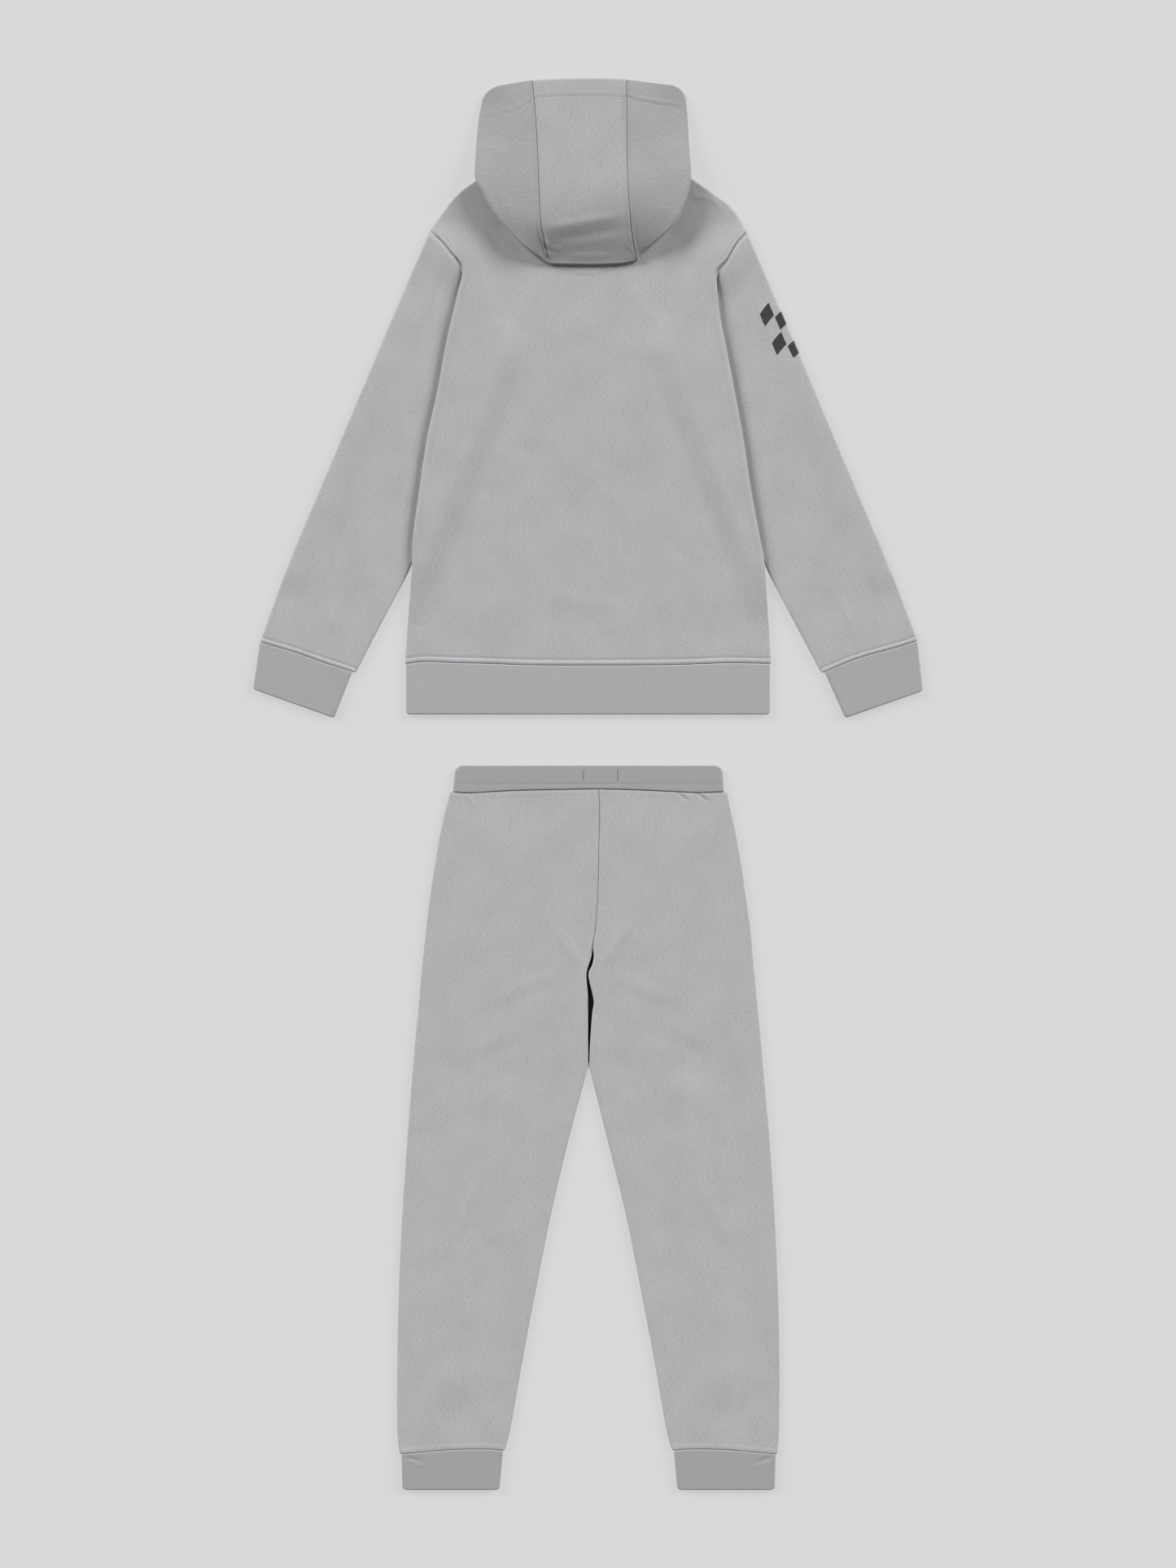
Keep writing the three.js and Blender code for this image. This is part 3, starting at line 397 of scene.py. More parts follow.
# The hem of the hood's opening is turned in and stitched along this line
HOOD_HEM = table("x y", [
    [-130, 731], [-83, 745], [-62, 757], [47, 758], [61, 754], [121, 744],
])
HOOD_HEM_FINISH = {"lip": 0.5, "dip": 0.45, "half_width": 2.6}
# The lips of the hood's seams fade out over these heights, towards its lower edge
HOOD_LIPS_FADE = (554, 576)

# The legs' inner edges stand up a little along the slit between them
SLIT = {"high": 668, "low": 520, "soft": 25, "rise": 1.0, "width": 8}

# How far apart the points of a path lie that runs beside another
PATH_PITCH = 2.0

# Strips of seam allowance inside the cloth. top is the height of the flat ones, and hood_below
# how far the hood's lie below its outer surface
ALLOWANCE = {
    "half": 4, "wall": 0.3, "pitch": 4.0, "stations": 3, "inset": 4, "top": 2.95, "hood_below": 2.2,
}
ARMHOLE_ALLOWANCE = {"low": 0.04, "high": 0.42, "half": 1.8}
HOOD_SEAM_ENDS = [779, 556]

# Stitches of a seam and of a bar tack, and the share of its pitch that a stitch's thread covers
STITCH = {"pitch": 3.1, "share": 0.78, "radius": 0.26}
BAR_TACK = {"pitch": 1.5, "share": 0.9, "radius": 0.4}
# Rings of one stitch: share of its length, share of its radius and height in radii
STITCH_RINGS = np.array([
    [0, 0.4, -1.1], [0.16, 0.9, 0], [0.5, 1, 0.35], [0.84, 0.9, 0], [1, 0.4, -1.1],
])
THREAD_SIDES = 6
# Metres above the surface from which a path is cast down onto the cloth
CAST_FROM = 0.08

# Where each row of stitches runs, in its garment's frame
NECK_ARC = [
    (-43, 551), (-27.5, 544), (-10, 539.5), (2.5, 538.6), (17.5, 541), (32.5, 547), (46, 552.5),
]
TWIN_GAP = 2.4
HEM_STITCH_INSET = 4
HOOD_HEM_SPANS = {
    "hood_side_left": (-126, -66.5), "hood_centre": (-60, 45.5), "hood_side_right": (52, 117),
}
HOOD_TACKS = {"high": [(41.5, 728), (42.2, 756)], "low": [(44.0, 728), (44.7, 756)]}
CHANNEL_ENDS = (-163, 164)
BAR_TACKS = [[(-5.8, 870.5), (-5.8, 883)], [(36.4, 869.5), (36.4, 884)]]
CHANNEL_Y = 866.6

# Where the print starts along the sleeve. Each of its blocks lies between two lengths along the
# sleeve and two round it from the fold
MOTIF_START = 87
MOTIF_BLOCKS = [
    (0, 17, 12, 30), (0, 17, -24, -6), (19.5, 36.5, -6, 12),
    (39, 56, 12, 30), (39, 56, -24, -6), (58.5, 75.5, -6, 12),
]
MOTIF_STEPS = {"along": 1.4, "around": 0.7}
# How far each layer of the print reaches past its block, and how high it lies
MOTIF_LAYERS = {"rim": {"past": 1.1, "lift": 0.12}, "block": {"past": 0, "lift": 0.24}}

# Red, green and blue of every grey, which is slightly violet, and the grey of each material
GREY_TINT = (1.003, 0.98, 1.017)
GREYS = {
    # The hood's sides have upright grain and a darker grey than the body's cloth: painted shade
    # that damps the light on their rising folds
    "fleece across": 0.43, "fleece upright with painted shade": 0.335, "fleece of the hood's centre": 0.37,
    # The legs' inner faces are near black: painted shade that darkens the slit between the legs
    "painted slit shade inside the legs": 0.012, "rib": 0.39, "cuff rib": 0.375, "waist rib": 0.345,
    "thread": 0.33, "pale thread": 0.44, "dark thread": 0.12, "dark print": 0.045,
    "pale print rim": 0.5,
}
SHINE = {"Specular IOR Level": 0.25, "Sheen Roughness": 0.6}
# How strong the knit's pattern is, and its lengths in millimetres
FLEECE_LOOK = {"contrast": 0.24, "streak": (3.8, 0.8), "grain": 0.9}
RIB_LOOK = {"contrast": 0.12, "streak": (3.6, 0.9), "grain": 0.9, "ribs": 2.2}
# How rough each kind of surface is, and its sheen
CLOTH_SURFACE = (0.95, 0.08)
THREAD_SURFACE = (0.8, 0.1)
PRINT_SURFACE = (0.7, 0.0)
FLOOR_SURFACE = (0.9, 0.0)
# The knit's streaks, specks and broad clouds, their weights, and the relief they give
STREAKS = {"Scale": 1.0, "Detail": 2.5, "Roughness": 0.55, "Distortion": 0.35}
SPECKS = {"Detail": 1.0}
CLOUDS = {"Scale": 22.0, "Detail": 2.0}
WEIGHTS = {"streaks": 0.62, "specks": 0.22, "clouds": 0.16, "ribs": 0.25}
RIB_DISTORTION = 0.25
KNIT_RELIEF = {"Strength": 0.3, "Distance": 0.0004}
KNIT_RANGE = (0.3, 0.7)
# Grain of the threads and the print
FLAT_GRAIN = {"Scale": 700.0, "Detail": 2.0}
FLAT_CONTRAST = 0.08

# Floor, light and camera in metres and degrees
FLOOR = {"size": 14, "level": -0.0002}
# The table glows a little, so that shadows on it stay faint
TABLE = {"colour": 0.13, "glow": 0.56, "glow_colour": (0.99, 0.99, 1.01, 1)}
WORLD_STRENGTH = 0.18
# Two soft lights beyond the hood, one to each side of it
SOFTBOX = {"energy": 3.26, "spread": 26, "height": 23, "turn": 58}
CAMERA = {"lens": 85, "sensor": 36, "shown_height": 1.927}


def from_segment(x, y, from_x, from_y, to_x, to_y):
    """Distance from a segment, and the share along it of the nearest place."""
    along_x = to_x - from_x
    along_y = to_y - from_y
    reach = (x - from_x) * along_x + (y - from_y) * along_y
    share = np.clip(reach / (along_x**2 + along_y**2), 0, 1)
    away = np.hypot(x - from_x - share * along_x, y - from_y - share * along_y)
    return away, share


def folds_at(folds, x, y, end=CREASE_END):
    """Height of creases, or of swells, which keep their whole height to their ends."""
    height = np.zeros(np.shape(x))
    for from_x, from_y, to_x, to_y, half_width, tall in zip(*folds.values()):
        away, share = from_segment(x, y, from_x, from_y, to_x, to_y)
        taper = smoothstep(share, 0, CREASE_TAPER) * smoothstep(1 - share, 0, CREASE_TAPER)
        height = height + tall * lerp(end, 1, taper) * bump(away, half_width)
    return height


def wrinkles(swells, creases, x, y):
    return folds_at(swells, x, y, 1) + folds_at(creases, x, y)


# Cloth. A piece is a grid of rows along it and stations across it. Every array below has a row
# for each row of the cloth and a column for each station


def fold_point(turn, fold_radius, radius, rolled):
    """How far a point of a fold is from the edge, and its share of the fold's height."""
    angle = turn * math.pi / 2
    reach = lerp(fold_radius * (1 - turn), fold_radius - radius * np.sin(angle), rolled)
    rise = lerp(1, np.cos(angle), rolled)
    return reach, rise


def layer_stations(layer, shares):
    """Stations of one layer: the fold at its left edge, its flat part and its right fold."""
    flat = np.zeros(len(shares))
    side = np.concatenate([np.full(FOLDS, -1), flat, np.full(FOLDS, 1)])
    turn = np.concatenate([FOLD_TURNS, flat, FOLD_TURNS[::-1]])
    share = np.concatenate([np.zeros(FOLDS), shares, np.ones(FOLDS)])
    return {"layer": np.full(len(side), layer), "side": side, "turn": turn, "share": share}


def tube_stations(width):
    """Stations all round a tube, closer together on the layer that shows."""
    upper = layer_stations(1, even_shares(width, FINE_STEP))
    under = layer_stations(-1, even_shares(width, PLAIN_STEP))
    return {name: np.concatenate([upper[name], under[name][1:-1][::-1]]) for name in upper}


def even_shares(width, step):
    count = max(round(width / step), FEWEST_STATIONS)
    return (np.arange(count) + 1) / (count + 1)


def line_rows(xs, ys, step, from_start=END_PLACES):
    """Fractional row numbers along a line of the table, closer together at its ends."""
    along = running(np.hypot(np.diff(xs), np.diff(ys)))
    places = end_places(along[-1], step, from_start)
    return np.interp(places, along, np.arange(len(along))), places


def end_places(length, step, from_start=END_PLACES):
    first = from_start[-1]
    last = length - END_PLACES[-1]
    middle = np.linspace(first, last, round((last - first) / step) + 1)[1:-1]
    return np.concatenate([from_start, middle, length - np.array(END_PLACES[::-1])])


def split_level(half, level, middle):
    """Where a fold is shared by an upper and an under piece, each stops short of the middle."""
    if half > 0:
        return np.maximum(level, middle + LAYER_GAP / 2)
    if half < 0:
        return np.minimum(level, middle - LAYER_GAP / 2)
    return level


def pinch(away, wall):
    """How thick the cloth is near a cut end, as a share of its wall: it ends in a round."""
    inside = np.clip(1 - away / (wall / 2), 0, 1)
    return np.sqrt(np.maximum(1 - inside**2, CUT_EDGE))


def cloth_surface(piece, wall_in):
    """Points of the piece's outer surface, or of the one a wall further in."""
    wall = piece["cloth"]["wall"]
    fold_radius = piece["cloth"]["height"] / 2
    stations = piece["stations"]
    at = piece["rows"][:, None]
    row_turn = piece["row_turns"][:, None]
    plan = piece["plan"]
    left = plan(at, 0.0)
    right = plan(at, 1.0)
    width = np.hypot(right[0] - left[0], right[1] - left[1])
    layer = stations["layer"][None, :]
    side = stations["side"][None, :]
    rolled = piece["rolled"](at, side) if "rolled" in piece else 1.0
    turn = stations["turn"][None, :]
    ends = pinch(piece["end_away"], wall)[:, None]
    sides = np.where(side == 0, 1.0, lerp(pinch(fold_radius * (1 - turn), wall), 1.0, rolled))
    middle = fold_radius - wall / 2
    radius = middle + (fold_radius - wall_in - middle) * np.minimum(ends, sides)
    reach, rise = fold_point(turn, fold_radius, radius, rolled)
    edge_share = reach / width
    flat_share = lerp(fold_radius / width, 1 - fold_radius / width, stations["share"][None, :])
    share = np.where(side < 0, edge_share, np.where(side > 0, 1 - edge_share, flat_share))
    end_rolled = piece["end_rolled"](share) if "end_rolled" in piece else 0.0
    end_reach, end_rise = fold_point(row_turn, fold_radius, radius, end_rolled)
    x, y = plan(at + 0 * share, share)
    if "on_edge" in piece:
        next_x, next_y = plan(np.ones_like(share), share)
        start_x, start_y = plan(np.zeros_like(share), share)
        step = end_reach / np.hypot(next_x - start_x, next_y - start_y)
        on_edge = piece["on_edge"][:, None]
        x = np.where(on_edge, lerp(start_x, next_x, step), x)
        y = np.where(on_edge, lerp(start_y, next_y, step), y)
    rise = np.minimum(rise, end_rise)
    level = split_level(piece.get("half", 0), fold_radius + layer * radius * rise, fold_radius)
    ground = piece["ground"](x, y) if "ground" in piece else 0.0
    relief = 0.0
    if piece.get("relief"):
        relief = np.where(layer > 0, rise * piece["relief"](x, y, at + 0 * share, share), 0.0)
    return np.stack([x, y, level + relief + ground], axis=-1)


def sew(name, outer, inner, closed, offset_y, material, inside=None):
    """One closed shell between an outer and an inner grid of points, with its lengths as UV."""
    rows, stations = outer.shape[:2]
    points = np.concatenate([outer.reshape(-1, 3), inner.reshape(-1, 3)])
    points = (points + [0, offset_y, 0]) * MM
    inner_start = rows * stations
    last = stations if closed else stations - 1
    row, station = np.meshgrid(np.arange(rows - 1), np.arange(last), indexing="ij")
    beside = (station + 1) % stations
    corners = [row * stations + station, (row + 1) * stations + station]
    corners += [(row + 1) * stations + beside, row * stations + beside]
    quads = np.stack([c.ravel() for c in corners], axis=1)
    first_row = np.arange(last)
    first_next = (first_row + 1) % stations
    last_row = (rows - 1) * stations
    rims = [(first_next, first_row), (last_row + first_row, last_row + first_next)]
    if not closed:
        left = np.arange(rows - 1) * stations
        right = left + stations - 1
        rims += [(left, left + stations), (right + stations, right)]
    faces = [quads, quads[:, ::-1] + inner_start]
    for start, end in rims:
        faces.append(np.stack([end, start, start + inner_start, end + inner_start], axis=1))
    faces = np.concatenate(faces)
    if signed_volume(points, faces) < 0:
        faces = faces[:, ::-1]
    mesh = bpy.data.meshes.new(name)
    mesh.vertices.add(len(points))
    mesh.vertices.foreach_set("co", points.astype(np.float32).ravel())
    mesh.loops.add(faces.size)
    mesh.loops.foreach_set("vertex_index", faces.astype(np.int32).ravel())
    mesh.polygons.add(len(faces))
    mesh.polygons.foreach_set("loop_start", np.arange(0, faces.size, 4, dtype=np.int32))
    mesh.polygons.foreach_set("use_smooth", np.arange(len(faces)) < 2 * len(quads))
    mesh.update(calc_edges=True)
    mesh.validate()
    lengths = np.concatenate([cloth_lengths(outer).reshape(-1, 2)] * 2)
    uv_layer = mesh.uv_layers.new(name="cloth")
    uv_layer.data.foreach_set("uv", (lengths[faces] * MM).astype(np.float32).ravel())
    mesh.materials.append(material)
    # Where a second material is given, the inner faces take it: on the legs' fronts it is
    # near-black painted shade that shows down the slit
    if inside:
        mesh.materials.append(inside)
        face = np.arange(len(faces))
        within = (face >= len(quads)) & (face < 2 * len(quads))
        mesh.polygons.foreach_set("material_index", within.astype(np.int32))
    return add_object(name, mesh)


def add_object(name, data):
    added = bpy.data.objects.new(name, data)
    bpy.context.scene.collection.objects.link(added)
    return added


def signed_volume(points, faces):
    a, b, c, d = (points[faces[:, i]] for i in range(4))
    first = np.einsum("ij,ij->i", a, np.cross(b, c))
    second = np.einsum("ij,ij->i", a, np.cross(c, d))
    return (first + second).sum() / 6


def cloth_lengths(grid):
    """Lengths across and along the cloth from its middle station, for the weave to follow."""
    across = np.linalg.norm(np.diff(grid, axis=1), axis=2)
    across = np.concatenate([np.zeros((grid.shape[0], 1)), np.cumsum(across, axis=1)], axis=1)
    across = across - across[:, grid.shape[1] // 2][:, None]
    along = running(np.linalg.norm(np.diff(grid, axis=0), axis=2).mean(axis=1))
    return np.stack([across, along[:, None] + 0 * across], axis=-1)


def sew_piece(piece, offset_y, material, inside=None):
    outer = cloth_surface(piece, 0.0)
    inner = cloth_surface(piece, piece["cloth"]["wall"])
    closed = "half" not in piece
    return sew(piece["name"], outer, inner, closed, offset_y, material, inside), outer


def plain_rows(ats, places):
    """Rows of a piece that is cut at both its ends."""
    away = np.minimum(places, places[-1] - places)
    return {"rows": ats, "row_turns": np.zeros(len(ats)), "end_away": away}


def sew_tube(name, cloth, width, plan, relief, rows, offset_y, material):
    piece = {"name": name, "cloth": cloth, "stations": tube_stations(width), "plan": plan}
    return sew_piece({**piece, "relief": relief, **plain_rows(*rows)}, offset_y, material)


# Hoodie body


def tuck_rise(x, y):
    inner_x = read_table(TUCK_LINES, "y", "innerX", y)
    lift = np.clip(read_table(TUCK_LINES, "y", "lift", y), 0, 1)
    return LAYER_RISE * lift * smoothstep(np.abs(x), inner_x - TUCK_RAMP, inner_x)


def body_plan(edge_name):
    edge = SHOULDER_EDGE

    def plan(at, share):
        x = between(BODY_LINES, "leftX", "rightX", at, share)
        level = between(BODY_LINES, "leftY", "rightY", at, share)
        edge_x = lerp(edge["x"][0], edge["x"][-1], share)
        tip_y = lerp(edge["back"][0], edge["back"][-1], share)
        shape = read_table(edge, "x", edge_name, edge_x) - tip_y
        hem = line_y(HEM_SEAM, x) + SEAM_GAP / 2 - BODY_LINES["leftY"][-1]
        bend = hem * smoothstep(at, BODY_LAST - 1, BODY_LAST)
        return x, level + read_row(BODY_LINES, "rise", at) * shape + bend

    return plan


def shoulder_rolled(share):
    """The shoulders fold over at their edge, and the neck is a cut edge between them."""
    x = lerp(BODY_LINES["leftX"][0], BODY_LINES["rightX"][0], share)
    return np.where(np.abs(x) < NECK_HALF_WIDTH + 1, 0.0, 1.0)


def body_rolled(at, side):
    """Down to the armhole's lower end the body's sides are sewn, and below it they fold."""
    return smoothstep(at, *ARMHOLE_END_ROWS)


# Seams


def seam_relief(finish, away, along):
    half = finish["width"] / 2
    lip = finish["lip"] * bump(away - half, half)
    dip = -finish["dip"] * bump(away - finish["stitch"], STITCH_WIDTH)
    turn = 2 * math.pi * along
    wander = PUCKER["turn"] * np.sin(turn / PUCKER["wander"])
    uneven = lerp(np.sin(turn / PUCKER["fade"] + 1), 1, PUCKER["even"])
    pucker = finish["pucker"] * np.sin(turn / PUCKER["length"] + wander) * uneven
    return lip + dip + pucker * bump(away - half, half + PUCKER["beyond"])


def from_path(x, y, path):
    """Distance from a path, and the length along it up to the nearest place."""
    nearest = np.full(np.shape(x), np.inf)
    along = np.zeros(np.shape(x))
    length = 0.0
    for (from_x, from_y), (to_x, to_y) in zip(path[:-1], path[1:]):
        away, share = from_segment(x, y, from_x, from_y, to_x, to_y)
        step = math.hypot(to_x - from_x, to_y - from_y)
        along = np.where(away < nearest, length + share * step, along)
        nearest = np.minimum(nearest, away)
        length += step
    return nearest, along


def armhole_path(side, low=0.0, high=ARMHOLE_SHOWN):
    """The part of the armhole seam that shows, from the shoulder tip down to the side fold."""
    shares = np.linspace(low, high, ARMHOLE_POINTS)
    return list(zip(*(read_table(ARMHOLE, "share", side + axis, shares) for axis in "XY")))


def body_edge_x(side, y):
    return np.abs(smooth_at(-BODY_LINES[f"{side}Y"], BODY_LINES[f"{side}X"], -y))


def along_tuck(y):
    """1 along the side folds, falling to 0 above the armhole's end and at the underarm."""
    above = smoothstep(y, ARMHOLE_END_Y, TUCK_EDGE["high"])
    return (1 - above) * smoothstep(y, TUCK_EDGE["low"], TUCK_EDGE["low"] + TUCK_EDGE["soft"])


def body_relief(x, y, at, share):
    """Swells and creases of the back, and the lips of its seams."""
    relief = wrinkles(BODY_SWELLS, BODY_CREASES, x, y)
    relief = relief + seam_relief(HEM_FINISH, y - line_y(HEM_SEAM, x), x)
    for side, outward in OUTWARD.items():
        away, along = from_path(x, y, armhole_path(side))
        relief = relief + seam_relief(ARMHOLE_FINISH, away, along)
        within = body_edge_x(side, y) - np.abs(x)
        ridge = TUCK_EDGE["ridge"] * bump(within - TUCK_EDGE["within"], TUCK_EDGE["within"])
        relief = relief + ridge * (np.sign(x) == outward) * along_tuck(y)
    return relief


def body_panel(name, half, edge_name, step, material, relief=None):
    edge = SHOULDER_EDGE["x"]
    knots = ((edge - edge[0]) / (edge[-1] - edge[0]))[1:-1]
    shares = np.union1d(knots.round(KNOT_DIGITS), even_shares(edge[-1] - edge[0], step))
    shares = shares[np.concatenate([[True], np.diff(shares) > CLOSEST_SHARES])]
    middle_y = BODY_LINES["leftY"] + BODY_LINES["rise"] * (SHOULDER_Y - BODY_LINES["leftY"][0])
    first = [FLEECE["height"], FLEECE["height"] + step]
    ats, places = line_rows(0 * middle_y, middle_y, step, first)
    piece = {
        "name": name,
        "cloth": FLEECE,
        "half": half,
        "stations": layer_stations(half, shares),
        "rows": np.concatenate([np.zeros(FOLDS), ats]),
        "row_turns": np.concatenate([FOLD_TURNS, np.zeros(len(ats))]),
        "on_edge": np.arange(FOLDS + len(ats)) < FOLDS,
        "end_away": places[-1] - np.concatenate([np.zeros(FOLDS), places]),
        "plan": body_plan(edge_name),
        "rolled": body_rolled,
        "end_rolled": shoulder_rolled,
        "ground": tuck_rise,
        "relief": relief,
    }
    return sew_piece(piece, HOODIE_Y, material)


# Sleeves


def sleeve_plan(side, cuff_seam):
    last = len(SLEEVE_LINES["outerY"]) - 1
    outer = f"{side}Outer"
    inner = f"{side}Inner"

    def at_cuff(outer_name, inner_name, share):
        return lerp(SLEEVE_LINES[outer_name][-1], SLEEVE_LINES[inner_name][-1], share)

    def armhole_bend(axis, share):
        """How far the armhole's line is from the straight one between its ends."""
        values = ARMHOLE[side + axis]
        straight = lerp(values[0], values[-1], share)
        return read_table(ARMHOLE, "share", side + axis, share) - straight

    def plan(at, share):
        fade = (1 - at / last) ** 2
        x = between(SLEEVE_LINES, outer, inner, at, share) + fade * armhole_bend("X", share)
        y = between(SLEEVE_LINES, "outerY", "innerY", at, share) + fade * armhole_bend("Y", share)
        seam = line_y(cuff_seam, at_cuff(outer, inner, share)) + SEAM_GAP / 2
        bend = seam - at_cuff("outerY", "innerY", share)
        return x, y + bend * smoothstep(at, last - 1, last)

    return plan


def armhole_rise(side, x, y, share):
    seam_x = read_table(ARMHOLE, "share", f"{side}X", share)
    seam_y = read_table(ARMHOLE, "share", f"{side}Y", share)
    held = 1 - smoothstep(share, ARMHOLE_RISE["from_share"], ARMHOLE_RISE["to_share"])
    away = np.hypot(x - seam_x, y - seam_y)
    near = 1 - smoothstep(away, 0, ARMHOLE_RISE["reach"])
    sewn_down = ARMHOLE_RISE["below"] * (1 - smoothstep(away, 0, ARMHOLE_RISE["edge"]))
    beside_body = smoothstep(np.abs(x) - body_edge_x(side, y), -ARMHOLE_RISE["soft"], 0)
    return (tuck_rise(seam_x, seam_y) * near - sewn_down) * held * beside_body


def sleeve(side, material):
    lines = SLEEVE_LINES
    cuff_seam = CUFF_SEAMS[side]
    seam_path = list(zip(cuff_seam["x"], cuff_seam["y"]))

    def relief(x, y, at, share):
        beside_body = np.abs(x) - body_edge_x(side, y)
        dip = TUCK_EDGE["dip"] * bump(beside_body, TUCK_EDGE["dip_width"]) * along_tuck(y)
        lifted = armhole_rise(side, x, y, share) - dip
        lip = seam_relief(CUFF_FINISH, *from_path(x, y, seam_path))
        return wrinkles(SLEEVE_SWELLS, SLEEVE_CREASES, x, y) + lip + lifted

    rows = line_rows(lines[f"{side}Outer"], lines["outerY"], FINE_STEP)
    plan = sleeve_plan(side, cuff_seam)
    name = f"cloth_sleeve_{side}"
    return sew_tube(name, FLEECE, SLEEVE_WIDTH, plan, relief, rows, HOODIE_Y, material)


# Rib bands. A band runs from its seam to a free edge with rounded corners


def band_seam_point(band, share):
    x = lerp(band["seam_x"][0], band["seam_x"][1], share)
    key = -x if band.get("mirrored") else x
    return x, line_y(band["seam"], key) + band.get("gap", -SEAM_GAP / 2)


def band_plan(band):
    start_x, start_y = band_seam_point(band, 0.0)
    end_x, end_y = band_seam_point(band, 1.0)
    (left_x, left_y), (right_x, right_y) = band["edge"]
    length = math.hypot(left_x - start_x, left_y - start_y)
    corner = band["corner"]

    def plan(at, share):
        cut = np.maximum(corner - (1 - at) * length, 0)
        inset = corner - np.sqrt(np.maximum(corner**2 - cut**2, 0))
        from_x = lerp(start_x, left_x, at)
        from_y = lerp(start_y, left_y, at)
        to_x = lerp(end_x, right_x, at)
        to_y = lerp(end_y, right_y, at)
        width = np.hypot(to_x - from_x, to_y - from_y)
        held = lerp(inset / width, 1 - inset / width, share)
        bend = band_seam_point(band, share)[1] - lerp(start_y, end_y, share)
        return lerp(from_x, to_x, held), lerp(from_y, to_y, held) + bend * (1 - at)

    return plan, length


def waistband_relief(x, y, at, share):
    relief = -WAIST_DIPS["join"] * bump(x - WAIST_JOIN_X, WAIST_DIPS["half_width"])
    relief = relief - WAIST_DIPS["channel"] * bump(y - CHANNEL_Y, STITCH_WIDTH)
    outside, inside = TACK_ENDS.values()
    for (tack_x, low), (_, high) in BAR_TACKS:
        above = smoothstep(y, low - outside, low + inside)
        below = smoothstep(-y, -high - outside, -high + inside)
        dip = WAIST_DIPS["tack"] * bump(x - tack_x, WAIST_DIPS["half_width"])
        relief = relief - dip * above * below
    return relief


def ankle_relief(x, y, at, share):
    return folds_at(BAND_CREASES, x, y)


def rib_band(name, band, offset_y, material, relief=None):
    plan, length = band_plan(band)
    places = end_places(length, FINE_STEP)
    rows = (places / length, places)
    return sew_tube(f"cloth_{name}", RIB, band["width"], plan, relief, rows, offset_y, material)


# Hood


def hood_top(x, y):
    low = HOOD_SLANT["low"]
    zone = np.clip((y - low) / (HOOD_SLANT["high"] - low), 0, 1)
    slant = HOOD_SLANT["share"] * x * np.sin(math.pi * zone) ** 2
    return read_table(HOOD_CROWN, "y", "z", y - slant)


def hood_floor(x, y, end="end"):
    """What the hood lies on: the surface above the shoulders, and the back below them."""
    beside = read_table(SHOULDER_EDGE, "x", "back", -np.abs(x))
    shoulder = np.where(np.abs(x) < NECK_HALF_WIDTH, SHOULDER_Y, beside)
    down = smoothstep(y, shoulder + HOOD_RAMP["start"], shoulder + HOOD_RAMP[end])
    return LAYER_RISE * (1 - down)


def wall_level(thick, wall_in):
    """Height of an outer or inner surface, from the outer one of cloth of whole thickness."""
    half = FLEECE["wall"] / 2
    return -half + (half - wall_in) * thick


def hood_side_surface(side, wall_in):
    lines = HOOD_SIDE_LINES[side]
    count = len(lines["seamY"]) - 1
    at = np.linspace(0, count, count * HOOD_SIDE_GRID["rows"] + 1)[:, None]
    seam_y, edge_x, edge_y, height, returned = (read_row(lines, name, at) for name in lines)
    seam_x = read_table(HOOD_SEAMS, "y", side, seam_y) + OUTWARD[side] * HOOD_SEAM_GAP / 2
    width = np.hypot(seam_x - edge_x, seam_y - edge_y)
    fold_radius = np.minimum(height, HOOD_SIDE_FOLD) / 2
    floor = height - 2 * fold_radius + hood_floor(edge_x, edge_y, "soft_end")
    lift = floor - hood_floor(edge_x, edge_y)
    near_seam = 1 - SEAM_PLACES / HOOD_SIDE_WIDTH
    to_fold = np.linspace(near_seam[-1], 0, HOOD_SIDE_GRID["upper"])[1:-1]
    upper = np.concatenate([near_seam, to_fold])[None, :]
    under = np.linspace(0, 1, HOOD_SIDE_GRID["under"])[None, 1:]

    def place(reach):
        share = reach / width
        return lerp(edge_x, seam_x, share), lerp(edge_y, seam_y, share)

    x, y = place(lerp(fold_radius, width, upper))
    ease = (upper * (2 - upper) + smoothstep(upper, 0, 1)) / 2
    top = lerp(floor + 2 * fold_radius, hood_top(seam_x, seam_y), ease)
    from_seam = (width - fold_radius) * (1 - upper)
    thick = wall_level(pinch(from_seam, FLEECE["wall"]), wall_in)
    relief = hood_relief(x, y, from_seam) * smoothstep(upper, 0, HOOD_SIDE_SOFT["relief"])
    upper_points = np.stack([x, y, top + thick + relief], axis=-1)
    radius = fold_radius - wall_in
    reach, rise = fold_point(WHOLE_FOLD[None, :], fold_radius, radius, 1.0)
    x, y = place(reach)
    level = floor + fold_radius + FOLD_LAYERS[None, :] * radius * rise
    fold_points = np.stack([x, y, level], axis=-1)
    x, y = place(lerp(fold_radius, returned * width, under))
    hung = lift * (1 - smoothstep(under, 0, HOOD_SIDE_SOFT["lift"]))
    under_points = np.stack([x, y, hood_floor(x, y) + hung + wall_in], axis=-1)
    return np.concatenate([upper_points, fold_points, under_points], axis=1)


def hood_relief(x, y, from_seam):
    """The hood's creases, its seams' lips and the stitched hem of its opening."""
    above = y - line_y(HOOD_HEM, x)
    half_width = HOOD_HEM_FINISH["half_width"]
    lip = HOOD_HEM_FINISH["lip"] * bump(above - half_width, half_width)
    dip = HOOD_HEM_FINISH["dip"] * bump(above, STITCH_WIDTH)
    lips = seam_relief(HOOD_FINISH, from_seam, y) * smoothstep(y, *HOOD_LIPS_FADE)
    return folds_at(HOOD_CREASES, x, y) + lips + lip - dip


def hood_side(side, material):
    outer = hood_side_surface(side, 0.0)
    inner = hood_side_surface(side, FLEECE["wall"])
    return sew(f"cloth_hood_side_{side}", outer, inner, False, HOODIE_Y, material), outer


